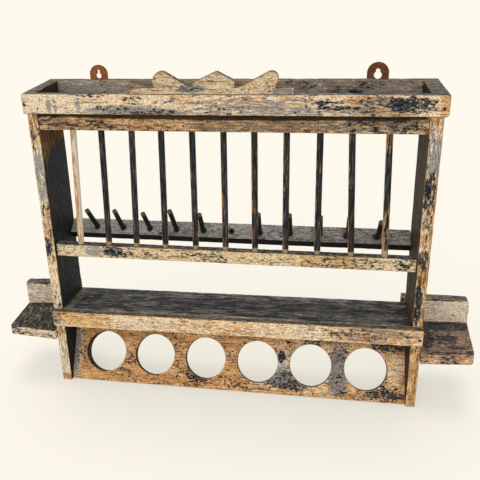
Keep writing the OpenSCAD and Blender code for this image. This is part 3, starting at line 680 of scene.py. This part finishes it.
@dataclass
class WornRod:
    """Dowel or peg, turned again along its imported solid's own line, a little out of round."""

    node: str
    finish: RodPaint
    hidden_mm: float = 15.0
    ring_mm: float = 9.0
    facets: int = 18
    whittle: float = 0.025
    lump_mm: float = 30.0
    lump_turn: float = 1.3

    def build(self) -> bpy.types.Object:
        """Make the rod, dress it and put it in its place."""
        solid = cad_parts[self.node].data
        points = np.array([v.co for v in solid.vertices])
        middle = (points.min(0) + points.max(0)) / 2
        way = np.linalg.svd(points - points.mean(0))[2][0]
        way = way if way[2] > 0 else -way
        along = (points - middle) @ way
        radial = np.linalg.norm(points - middle - along[:, None] * way, axis=1)
        low, high = along.min(), along.max()
        stations = self.stations(low, high)
        outline = [self.radius(along, radial, s) for s in stations]
        across = np.cross(way, [0.0, 1.0, 0.0])
        across /= np.linalg.norm(across)
        third = np.cross(way, across)
        mesh = bmesh.new()
        shown = mesh.verts.layers.float.new("shown_mm")
        tip = mesh.verts.layers.float.new("tip_mm")
        rings = []
        for s, r in zip(stations, outline):
            ring = []
            for k in range(self.facets):
                turn = 2 * math.pi * k / self.facets
                out = math.cos(turn) * across + math.sin(turn) * third
                rough = noise.noise(Vector((middle + way * s) / MM / self.lump_mm + out * self.lump_turn))
                co = middle + way * s + out * r * (1 - self.whittle * (0.5 + 0.5 * rough))
                vert = mesh.verts.new(co)
                vert[shown] = (s - low) / MM - self.hidden_mm
                vert[tip] = (high - s) / MM
                ring.append(vert)
            rings.append(ring)
        for lower, upper in zip(rings, rings[1:]):
            for k in range(self.facets):
                j = (k + 1) % self.facets
                mesh.faces.new((lower[k], lower[j], upper[j], upper[k]))
        mesh.faces.new(rings[0][::-1])
        mesh.faces.new(rings[-1])
        bmesh.ops.recalc_face_normals(mesh, faces=mesh.faces)
        data = bpy.data.meshes.new(self.node + "_turned")
        smooth(mesh, data)
        data.materials.append(self.finish.material())
        return stand_in(self.node + "_turned", data, self.node)

    def stations(self, low: float, high: float) -> list[float]:
        """Places of the rings along the rod, close together at its ends.

        Args:
            low: where the rod starts, in metres along its line.
            high: where it ends.

        Returns:
            Places in rising order.
        """
        ends = [0.0, 0.4, 1.2, 2.5, 4.0]
        count = max(2, round((high - low) / (self.ring_mm * MM)))
        inner = [low + (high - low) * k / count for k in range(1, count)]
        foot = [low + e * MM for e in ends]
        head = [high - e * MM for e in reversed(ends)]
        return foot + [s for s in inner if foot[-1] + MM < s < head[0] - MM] + head

    @staticmethod
    def radius(along: np.ndarray, radial: np.ndarray, s: float) -> float:
        """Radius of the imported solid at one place.

        Args:
            along: its points' places along the line.
            radial: their distances from the line.
            s: the place asked for.

        Returns:
            The radius in metres.
        """
        levels = sorted({round(float(a), 5) for a in along})
        largest = [float(radial[np.abs(along - a) < SAME_RING].max()) for a in levels]
        return float(np.interp(s, levels, largest))


@dataclass
class Irons:
    """Nails, pins and screws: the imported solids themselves, in an old iron finish."""

    nodes: tuple[str, ...]
    finish: RustyIron

    def build(self) -> Iterator[bpy.types.Object]:
        """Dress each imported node."""
        for node in self.nodes:
            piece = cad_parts[node]
            piece.data.materials.clear()
            piece.data.materials.append(self.finish.material())
            yield piece


# Nails and pins: brown rust, dark but for a rubbed glint
NAIL_IRON = RustyIron("Rusted wire nail", "#6B4028", "#33241C", "#6E655C", mottle_mm=2.5, seed=3.0)
# Faces that no hand reaches: paint still thick and dull
HIDDEN_PINE = AgedPine("Painted pine, sheltered faces", cover=0.75, bloom=0.2, paint="#24231F",
                       dusty_paint="#45413A", light="#8C7350", dark="#5A432B", seed=2.0)
# Backs: never painted, only browned
BARE_BACK = AgedPine("Bare pine, browned against the wall", cover=0.1, bloom=0.15, wash=0.35,
                     light="#B99266", dark="#73512F", bloom_tone="#BDA688", seed=4.0)
# Rims: paint rubbed to a mottled grey
DARK_RIM = AgedPine("Painted pine rim, rubbed grey", cover=0.55, bloom=0.3, wash=0.6, paint="#2A2C2F",
                    dusty_paint="#5C5D5B", wash_tone="#706D66", light="#A98C64", dark="#5F4830",
                    bloom_tone="#A39B8C", seed=3.0)


@dataclass
class TopTray:
    """Open tray along the top: front, back, two ends, floor and the fretted crest board."""

    front: AgedPine = AgedPine(
        "Painted pine tray front, rubbed to cream", cover=0.2, bloom=0.5, wash=0.15, seed=10.0,
        light="#F0C592", dark="#AE8052", bloom_tone="#EEDCC0",
        depth=(-76, 40), patches=(
            Patch(-190, 650, 100, 13, paint=0.2, wash=0.5),
            Patch(-120, 645, 60, 8, paint=0.15, wash=0.3),
            Patch(-174, 671, 20, 10, paint=0.3),
            Patch(-250, 678, 40, 4, paint=0.28),
            Patch(-345, 662, 6, 24, wash=0.42),
            Patch(-331, 657, 5, 18, wash=0.42),
            Patch(-285, 664, 6, 20, wash=0.4),
            Patch(70, 650, 190, 10, paint=0.1, wash=0.4),
            Patch(60, 667, 150, 12, wash=0.35, bloom=-0.15),
            Patch(190, 666, 30, 5, paint=0.42),
            Patch(200, 657, 46, 5, paint=0.42),
            Patch(280, 660, 62, 24, paint=0.22, bloom=-0.3, wash=0.35),
            Patch(345, 664, 52, 18, paint=0.48),
            Patch(-340, 660, 80, 24, bloom=0.25),
            Patch(398, 661, 10, 40, paint=-0.25, bloom=-0.4),
        ),
    )
    crest: AgedPine = AgedPine(
        "Fretted pine crest, rubbed to beige", cover=0.18, bloom=0.45, wash=0.3, seed=14.0,
        light="#E2C197", dark="#A07A52", bloom_tone="#DCC9AC", flake_mm=3.0, flake_stretch=1.8,
        depth=(-76, 40), patches=(
            Patch(-60, 692, 30, 9, paint=0.26, wash=0.5),
            Patch(112, 688, 22, 12, wash=0.6, bloom=-0.3),
            Patch(-172, 685, 20, 12, bloom=-0.5),
        ),
    )
    back: AgedPine = AgedPine(
        "Pine tray back, dusty inside", cover=0.2, bloom=0.35, wash=0.55, seed=16.0,
        light="#D2BD9F", dark="#6A5544", bloom_tone="#D0C3B0", wash_tone="#8F8983", bare_arris=0.4,
        depth=(59, 30), patches=(
            Patch(120, 655, 330, 40, bloom=-0.35, paint=0.12),
            Patch(-335, 660, 38, 40, bloom=0.6, paint=-0.1),
            Patch(-262, 655, 42, 40, bloom=0.35),
            Patch(-200, 650, 26, 30, bloom=-0.4, wash=-0.4),
            Patch(-150, 655, 60, 40, bloom=-0.5),
            Patch(249, 657, 14, 7, paint=0.9),
            Patch(180, 660, 20, 20, bloom=0.5),
        ),
    )
    ends: AgedPine = AgedPine(
        "Painted pine tray ends, inside", cover=0.65, bloom=0.0, wash=0.2, seed=18.0,
        light="#6E5534", dark="#3F2F1E", paint="#1D1A17", dusty_paint="#38322A",
    )
    outer_ends: AgedPine = AgedPine(
        "Painted pine tray ends, outside", Grain.FRONT_TO_BACK, cover=0.4, bloom=0.35, wash=0.4, seed=19.0,
    )

    def build(self) -> Iterator[bpy.types.Object]:
        """Make the tray's pieces."""
        top = {Side.TOP: DARK_RIM}
        yield WornBoard("tray_front_board", self.ends,
                        {Side.FRONT: self.front, Side.LEFT: self.outer_ends,
                         Side.RIGHT: self.outer_ends} | top, arris_mm=2.8,
                        corners=((Side.RIGHT, Side.UNDER, 7.0), (Side.FRONT, Side.RIGHT, 5.0),
                                 (Side.LEFT, Side.UNDER, 4.0))).build()
        yield WornBoard("tray_back_board", self.outer_ends,
                        {Side.FRONT: self.back, Side.BACK: BARE_BACK} | top).build()
        for end, out in (("tray_left_end", Side.LEFT), ("tray_right_end", Side.RIGHT)):
            yield WornBoard(end, self.ends, {out: self.outer_ends} | top).build()
        yield WornBoard("tray_floor", self.ends, step_mm=20).build()
        yield WornBoard("crest_board", DARK_RIM, {Side.FRONT: self.crest, Side.BACK: self.back}, step_mm=5,
                        arris_mm=1.0, least_face_mm2=12).build()
        yield from Irons(("crest_pins", "tray_nails"), NAIL_IRON).build()


@dataclass
class Uprights:
    """The two side panels, which are also the legs."""

    left_front: AgedPine = AgedPine(
        "Painted pine, left upright's front", Grain.UPRIGHT, cover=0.28, bloom=0.4, wash=0.2, seed=20.0,
        light="#F0BE84", patches=(
            Patch(-387, 617, 30, 45, paint=0.06, bloom=-0.1),
            Patch(-387, 505, 30, 70, bloom=0.35, wash=0.4),
            Patch(-387, 415, 30, 40, paint=0.15),
            Patch(-395, 348, 16, 24, paint=0.62),
            Patch(-387, 280, 30, 40, paint=-0.15, bloom=0.1),
            Patch(-390, 220, 30, 25, bloom=0.3, wash=0.2),
            Patch(-387, 60, 25, 46, wash=0.2, bloom=0.9, paint=-0.6),
            Patch(-387, 105, 25, 30, paint=-0.25),
            Patch(-387, 5, 25, 16, wash=-0.6, bloom=-0.6),
        ),
    )
    right_front: AgedPine = AgedPine(
        "Painted pine, right upright's front", Grain.UPRIGHT, cover=0.31, bloom=0.36, seed=22.0,
        patches=(
            Patch(388, 565, 20, 50, bloom=0.2, wash=0.3),
            Patch(388, 500, 14, 40, paint=0.3),
            Patch(388, 355, 14, 22, paint=0.4),
            Patch(392, 315, 14, 25, bloom=-0.5, paint=0.05),
            Patch(384, 253, 10, 55, paint=0.52),
            Patch(388, 75, 20, 80, bloom=-0.3, paint=-0.05, wash=-0.4),
            Patch(400, 305, 4, 330, bloom=-0.8, paint=-0.5),
        ),
    )
    left_inside: AgedPine = AgedPine(
        "Painted pine, left upright's inside", Grain.UPRIGHT, cover=0.85, bloom=0.0, wash=0.0, seed=24.0,
        paint="#08090A", dusty_paint="#353C43", light="#8A6A44", dark="#3B2E20", pitted=1.0,
        patches=(
            Patch(-375, 575, 30, 62, paint=-0.5, depth=(-45, 26)),
            Patch(-375, 578, 30, 34, paint=-0.5, depth=(5, 80)),
        ),
    )
    right_inside: AgedPine = AgedPine(
        "Painted pine, right upright's inside", Grain.UPRIGHT, cover=0.6, bloom=0.0, wash=0.1, seed=26.0,
        paint="#1A1714", dusty_paint="#3E382F", light="#7A684F", dark="#483B2D",
    )
    outside: AgedPine = AgedPine(
        "Painted pine, uprights' outsides", Grain.UPRIGHT, cover=0.48, bloom=0.3, wash=0.4, seed=28.0,
        light="#C9A070", dark="#79573A",
    )

    def build(self) -> Iterator[bpy.types.Object]:
        """Make the two panels."""
        yield WornBoard("left_side_panel", self.left_inside,
                        {Side.FRONT: self.left_front, Side.LEFT: self.outside}).build()
        yield WornBoard("right_side_panel", self.right_inside,
                        {Side.FRONT: self.right_front, Side.RIGHT: self.outside}).build()


# The peg rail's bores, from the left: x of the first, pitch in millimetres, and number
FIRST_PEG_X = -314
PEG_PITCH = 61.8
PEGS = 11


@dataclass
class RailsAndRods:
    """Top rail, lower rail and tilted peg rail, with their dowels and pegs."""

    top: AgedPine = AgedPine(
        "Painted pine top rail", cover=0.3, bloom=0.2, wash=0.2, seed=30.0,
        light="#DDB184", dark="#8A6643", bloom_tone="#D6C2A4", wash_tone="#6B655E",
        patches=(
            Patch(-300, 626, 110, 20, paint=0.08),
            # Painted shadow: dark band along the rail's top, under the overhanging tray front
            Patch(0, 643, 470, 13, grime_and_shade=3.0),
            Patch(60, 623, 160, 26, bloom=-0.1, wash=0.3),
            Patch(270, 623, 120, 26, bloom=0.2, paint=0.07, wash=0.3),
            # Painted shadow: the same band, deeper towards the right end
            Patch(300, 630, 70, 12, grime_and_shade=0.45),
        ),
    )
    lower: AgedPine = AgedPine(
        "Painted pine lower rail", cover=0.31, bloom=0.45, wash=0.1, seed=32.0, flake_mm=3.6,
        light="#EDC68C", bloom_tone="#EBDAB8",
        depth=(-58, 40), patches=(
            Patch(-248, 337, 26, 14, paint=0.36, wash=0.25),
            Patch(-292, 338, 22, 18, bloom=0.5, wash=0.5, paint=-0.3),
            Patch(-180, 331, 70, 8, paint=0.2),
            Patch(350, 338, 24, 20, paint=0.2),
            Patch(310, 338, 60, 20, bloom=0.25),
            Patch(-320, 338, 60, 20, bloom=0.2, paint=-0.05),
            Patch(-60, 335, 60, 10, paint=0.15),
            Patch(250, 335, 130, 18, paint=0.14, bloom=-0.15),
        ),
    )
    lower_top: AgedPine = AgedPine(
        "Pine lower rail's top, greyed", cover=0.5, bloom=0.2, wash=0.5, seed=34.0,
        light="#92806A", dark="#5F4F3E", bloom_tone="#8F8575",
    )
    peg_rail: AgedPine = AgedPine(
        "Pine peg rail, greyed", cover=0.3, bloom=0.35, wash=0.5, seed=36.0,
        light="#AFA295", dark="#554D46", bloom_tone="#B9B4AC", wash_tone="#777A7D", bare_arris=0.3,
        depth=(45, 40), patches=(
            *(Patch(FIRST_PEG_X + PEG_PITCH * k, 350, 8, 8, grime_and_shade=0.9, depth=(42, 12))
              for k in range(PEGS)),
            Patch(-280, 355, 130, 40, bloom=0.75, paint=-0.2),
            Patch(40, 355, 130, 40, bloom=0.2, paint=-0.05),
        ),
    )
    # Painted shade: the tilted rail's lower edge faces down and forward and is coloured near-black
    peg_rail_edge: AgedPine = AgedPine(
        "Painted shade, peg rail's lower edge", cover=1.0, bloom=0.0, wash=0.0, seed=37.0, paint="#0C0D0E",
        dusty_paint="#1F2022", light="#4A3B2C", dark="#2E241A", bare_arris=0.2, arris_tone="#4A3826",
    )
    pale_dowel: RodPaint = RodPaint(
        "Pine dowel, bare", "#E0D4C1", "#F2EBDF", "#C28A58", "#D2A880",
        cover=0.8, worn_way=(-0.3, -0.95, 0.0), collar_mm=4, seed=1.0,
    )
    dark_dowel: RodPaint = RodPaint("Pine dowel, painted", seed=2.0)
    last_dowel: RodPaint = RodPaint(
        "Pine dowel, flaking", painted_sheen="#3E444A", bare="#AE8A5E", collar="#AE9B84",
        cover=1.0, worn_above=565.0, worn_below=455.0, collar_mm=14, seed=3.0,
    )
    peg: RodPaint = RodPaint(
        "Pine peg, blackened", "#141516", "#2A2B2C", "#4B3B2C", "#1B1815",
        cover=1.0, collar_mm=0, tip="#6B6156", tip_mm=3.0, seed=4.0,
    )

    def build(self) -> Iterator[bpy.types.Object]:
        """Make the rails, then the rods from left to right."""
        yield WornBoard("top_front_rail", HIDDEN_PINE, {Side.FRONT: self.top}).build()
        yield WornBoard("lower_front_rail", self.lower_top, {Side.FRONT: self.lower},
                        corners=((Side.RIGHT, Side.TOP, 8.0), (Side.RIGHT, Side.UNDER, 6.0))).build()
        # On the tilted rail the front-facing side is its lower edge, in painted shade
        yield WornBoard("peg_rail", self.peg_rail, {Side.FRONT: self.peg_rail_edge}).build()
        odd = {"dowel_01": self.pale_dowel, "dowel_11": self.last_dowel}
        for node in sorted(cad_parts):
            if node.startswith("dowel_"):
                yield WornRod(node, odd.get(node, self.dark_dowel)).build()
            if node.startswith("peg_") and node[4:].isdigit():
                yield WornRod(node, self.peg, hidden_mm=16, ring_mm=6, whittle=0.06).build()
        yield from Irons(("rail_nails", "peg_rail_nails"), NAIL_IRON).build()


@dataclass
class SlopingShelf:
    """Shelf board and the strip nailed along its front."""

    top: AgedPine = AgedPine(
        "Painted pine shelf", cover=0.56, bloom=0.25, wash=0.6, seed=40.0, pitted=0.5,
        paint="#101215", dusty_paint="#43484D", wash_tone="#686D75", light="#A18D72", dark="#4A4035",
        flake_mm=5.0, flake_stretch=7.0,
        depth=(0, 80), patches=(
            Patch(-365, 193, 14, 20, paint=-0.5),
            Patch(-372, 193, 5, 20, paint=-0.8, bloom=-0.8, wash=-0.8),
            Patch(0, 193, 420, 30, paint=-0.25, bloom=0.15, depth=(-66, 9)),
        ),
    )
    strip: AgedPine = AgedPine(
        "Painted pine shelf strip", cover=0.16, bloom=0.5, wash=0.05, seed=42.0, light="#F6CB92",
        dark="#A87547", bloom_tone="#F0DFC4",
        depth=(-79, 40), patches=(
            Patch(-330, 180, 80, 26, paint=0.1, bloom=-0.3),
            Patch(-20, 180, 130, 26, bloom=-0.1, wash=0.1),
            Patch(310, 183, 110, 26, wash=0.45, paint=0.12, bloom=-0.25),
            Patch(200, 183, 60, 22, paint=0.15),
            Patch(-387, 180, 14, 26, wash=0.6),
        ),
    )

    def build(self) -> Iterator[bpy.types.Object]:
        """Make the shelf and its strip."""
        yield WornBoard("shelf_board", self.top).build()
        yield WornBoard("shelf_front_strip", DARK_RIM, {Side.FRONT: self.strip}).build()
        yield from Irons(("shelf_nails", "strip_nails"), NAIL_IRON).build()


@dataclass
class HoledApron:
    """Leaning board with six round holes."""

    face: AgedPine = AgedPine(
        "Painted pine apron", cover=0.35, bloom=0.12, wash=0.1, seed=50.0, light="#F4BE84", dark="#B8824E",
        flake_mm=3.6, flake_stretch=1.7,
        patches=(
            Patch(75, 50, 60, 40, wash=0.5, paint=-0.04, bloom=0.45, depth=(-35, 60)),
            Patch(-60, 25, 60, 16, paint=0.18, depth=(-50, 60)),
            Patch(230, 60, 200, 90, bloom=0.25, paint=-0.04, depth=(-20, 90)),
            Patch(140, 28, 62, 22, paint=0.3, wash=0.5, depth=(-45, 60)),
            Patch(112, 72, 9, 14, paint=0.5, depth=(-20, 40)),
            Patch(236, 55, 30, 60, wash=0.8, paint=0.1, depth=(-34, 60)),
            Patch(178, 100, 26, 30, paint=0.3, depth=(-10, 40)),
            Patch(345, 106, 40, 18, paint=0.35, depth=(-4, 40)),
            Patch(340, 18, 60, 16, paint=0.28, depth=(-50, 40)),
            Patch(362, 67, 22, 32, paint=-0.6, wash=-0.5, bloom=0.1, depth=(-24, 40)),
            # Painted shade: dark band along the apron's top edge, under the shelf
            Patch(0, 155, 420, 22, grime_and_shade=0.7, depth=(0, 60)),
            Patch(-370, 65, 12, 80, bloom=0.9, wash=0.5, depth=(-30, 60)),
        ),
    )
    rims: AgedPine = AgedPine("Painted pine, edges of the holes", cover=0.7, bloom=0.0, seed=52.0,
                              paint="#1E1C19", dusty_paint="#3E3830", light="#8D6A42", dark="#5E4328")

    def build(self) -> Iterator[bpy.types.Object]:
        """Make the apron."""
        yield WornBoard("apron_board", self.rims, {Side.FRONT: self.face, Side.BACK: BARE_BACK}).build()
        yield from Irons(("apron_nails",), NAIL_IRON).build()


@dataclass
class Wing:
    """Small bracket shelf outside one upright, with its back plate."""

    side: str
    shelf: AgedPine
    edge: AgedPine
    back: AgedPine

    def build(self) -> Iterator[bpy.types.Object]:
        """Make the shelf and its back plate."""
        out = Side.LEFT if self.side == "left" else Side.RIGHT
        yield WornBoard(self.side + "_wing_shelf", self.edge, {Side.TOP: self.shelf}, arris_mm=3.2,
                        corners=((Side.FRONT, out, 9.0), (out, Side.UNDER, 5.0))).build()
        yield WornBoard(self.side + "_wing_back", self.back, {Side.TOP: DARK_RIM, Side.BACK: BARE_BACK},
                        arris_mm=2.6, corners=((out, Side.TOP, 5.0),)).build()


@dataclass
class WallIrons:
    """Keyhole plates that hang the rack, with their screws."""

    left: RustyIron = RustyIron("Rusted sheet steel, left plate", "#B8733F", "#6A3F28", seed=5.0)
    right: RustyIron = RustyIron("Rusted sheet steel, right plate", "#84502F", "#462A1D", seed=7.0)

    def build(self) -> Iterator[bpy.types.Object]:
        """Make the two plates and dress the screws."""
        for node, finish in (("left_hanger_plate", self.left), ("right_hanger_plate", self.right)):
            yield WornBoard(node, finish, step_mm=4, arris_mm=0.35, rub_mm=0.15, chip_mm=0.2, hollow_mm=0.1,
                            least_face_mm2=1.0).build()
        screws = RustyIron("Rusted wood screw", "#7A4A2E", "#3A2A20", mottle_mm=2.0, seed=8.0)
        yield from Irons(("hanger_screws",), screws).build()


@dataclass(frozen=True)
class Lamp:
    """Far lamp, made soft by how wide it looks from the rack."""

    name: str
    level: float
    width_deg: float
    turn_deg: Triple

    def build(self) -> None:
        """Hang the lamp."""
        sun = bpy.data.lights.new(self.name, "SUN")
        sun.energy = self.level
        sun.angle = math.radians(self.width_deg)
        into_scene(self.name, sun).rotation_euler = [math.radians(a) for a in self.turn_deg]


@dataclass
class Studio:
    """Pale floor, soft light and the photograph's camera."""

    floor_half_m: float = 30.0
    floor_tone: str = "#FBF7EC"
    paper_tone: str = "#ECE9DF"
    bounce_tone: str = "#C9C4B8"
    shadow_share: float = 0.4
    sky_level: float = 0.66
    key: Lamp = Lamp("Key, overhead", 1.4, 30.0, (-8.0, 0.0, 20.0))
    fill: Lamp = Lamp("Fill, from the front", 1.34, 90.0, (72.0, 0.0, -18.0))
    eye: Triple = (0.1806, -1.2671, 0.9424)
    turn_deg: Triple = (68.157, 1.966, 9.778)
    focal_px: float = 654.5
    centre_px: tuple[float, float] = (204.5, 206.05)
    picture_px: float = 480.0
    sensor_mm: float = 36.0

    @staticmethod
    def seen(add: Adder) -> bpy.types.Node:
        """Tell the rays that show a surface from those that carry its light to others.

        Args:
            add: adds a node to the surface or the sky.

        Returns:
            Node whose first output is 1 for camera, glossy and transmission rays.
        """
        path = add("LightPath")
        shown = add("Math", {0: path.outputs["Is Camera Ray"], 1: path.outputs["Is Glossy Ray"]},
                    operation="MAXIMUM")
        return add("Math", {0: shown, 1: path.outputs["Is Transmission Ray"]}, operation="MAXIMUM")

    def floor(self) -> None:
        """Lay a pale floor that takes the rack's shadow."""
        mesh = bpy.data.meshes.new("floor")
        half = self.floor_half_m
        ring = [(-half, -half, 0), (half, -half, 0), (half, half, 0), (-half, half, 0)]
        mesh.from_pydata(ring, [], [(0, 1, 2, 3)])
        plane = into_scene("floor", mesh)
        material = bpy.data.materials.new("Matt cream paper floor")
        add = blank(material)
        seen = self.seen(add)
        tone = add("MixRGB", {0: seen, 1: linear(self.bounce_tone), 2: linear(self.paper_tone)})
        paper = add("BsdfDiffuse", {"Color": tone})
        glow = add("Emission", {"Color": linear(self.floor_tone), "Strength": 1.0})
        share = add("MapRange", {"Value": seen} | span(0.0, 1.0, 0.0, 1.0 - self.shadow_share))
        skin = add("MixShader", {0: share, 1: paper, 2: glow})
        add("OutputMaterial", {"Surface": skin})
        mesh.materials.append(material)

    def lights(self) -> None:
        """Light the rack evenly, with more from above and in front."""
        world = bpy.data.worlds.new("Soft studio")
        bpy.context.scene.world = world
        add = blank(world)
        level = add("MapRange", {"Value": self.seen(add)} | span(0.0, 1.0, self.sky_level, 1.0))
        sky = add("Background", {"Color": linear(self.floor_tone), "Strength": level})
        add("OutputWorld", {"Surface": sky})
        self.key.build()
        self.fill.build()

    def camera(self) -> None:
        """Stand the camera where the photograph was taken from."""
        data = bpy.data.cameras.new("Photograph")
        data.sensor_width = self.sensor_mm
        data.lens = self.focal_px / self.picture_px * data.sensor_width
        data.shift_x = (self.picture_px / 2 - self.centre_px[0]) / self.picture_px
        data.shift_y = (self.centre_px[1] - self.picture_px / 2) / self.picture_px
        data.clip_end = 200.0
        eye = into_scene("Photograph", data)
        eye.location = self.eye
        eye.rotation_euler = [math.radians(a) for a in self.turn_deg]
        bpy.context.scene.camera = eye

    def build(self) -> None:
        """Set the stage."""
        self.floor()
        self.lights()
        self.camera()
        bpy.context.scene.view_settings.view_transform = "Standard"


def wings() -> tuple[Wing, Wing]:
    """The two bracket shelves, each with its own paint."""
    left = Wing(
        "left",
        AgedPine("Painted pine, left bracket's top", Grain.FRONT_TO_BACK, cover=0.7, bloom=0.2, wash=0.4,
                 paint="#17181A", dusty_paint="#45443F", light="#97866A", dark="#564A3B",
                 wash_tone="#6B6A66", pitted=0.45, flake_stretch=5.0, seed=60.0),
        AgedPine("Painted pine, left bracket's edges", cover=0.34, bloom=0.5, wash=0.3, seed=61.0),
        AgedPine("Painted pine, left bracket's back plate", cover=0.18, bloom=0.45, wash=0.45, seed=62.0,
                 light="#F4DCBC", dark="#AA8C6E", bloom_tone="#F4E6D2", wash_tone="#B2ABA2",
                 patches=(Patch(-450, 192, 90, 6, paint=0.8, depth=(60, 30)),)),
    )
    right = Wing(
        "right",
        AgedPine("Painted pine, right bracket's top", cover=0.48, bloom=0.0, wash=0.35, seed=64.0,
                 light="#AD8A6C", dark="#705645", paint="#1F2023", dusty_paint="#4A4B4E", flake_mm=5.5,
                 flake_stretch=2.0,
                 patches=(Patch(450, 142, 70, 20, paint=0.8, depth=(45, 22)),
                          Patch(418, 140, 18, 20, paint=0.3, depth=(-10, 40)),
                          Patch(465, 138, 22, 20, paint=0.3, depth=(-5, 20)),
                          Patch(440, 134, 30, 20, paint=-0.3, depth=(-50, 12)))),
        AgedPine("Painted pine, right bracket's edges", cover=0.3, bloom=0.3, seed=65.0,
                 light="#D0A57C", patches=(Patch(455, 130, 22, 20, paint=0.25, depth=(-70, 20)),)),
        AgedPine("Painted pine, right bracket's back plate", cover=0.2, bloom=0.6, wash=0.25, seed=66.0,
                 light="#F4DABC", dark="#AC8E70", bloom_tone="#F4E4CE",
                 depth=(60, 30), patches=(Patch(440, 200, 90, 7, paint=0.9),
                                          Patch(371, 190, 8, 40, paint=1.0))),
    )
    return left, right


def main() -> None:
    """Build the rack's sub-assemblies in order, then the studio."""
    logging.basicConfig(level=logging.INFO, format="%(name)s: %(message)s")
    parts = (TopTray(), Uprights(), RailsAndRods(), SlopingShelf(), HoledApron(), *wings(),
             Irons(("wing_nails",), NAIL_IRON), WallIrons())
    for part in parts:
        for piece in part.build():
            LOG.info("%s: %s, %d faces", type(part).__name__, piece.name, len(piece.data.polygons))
    Studio().build()


if __name__ == "__main__":
    main()
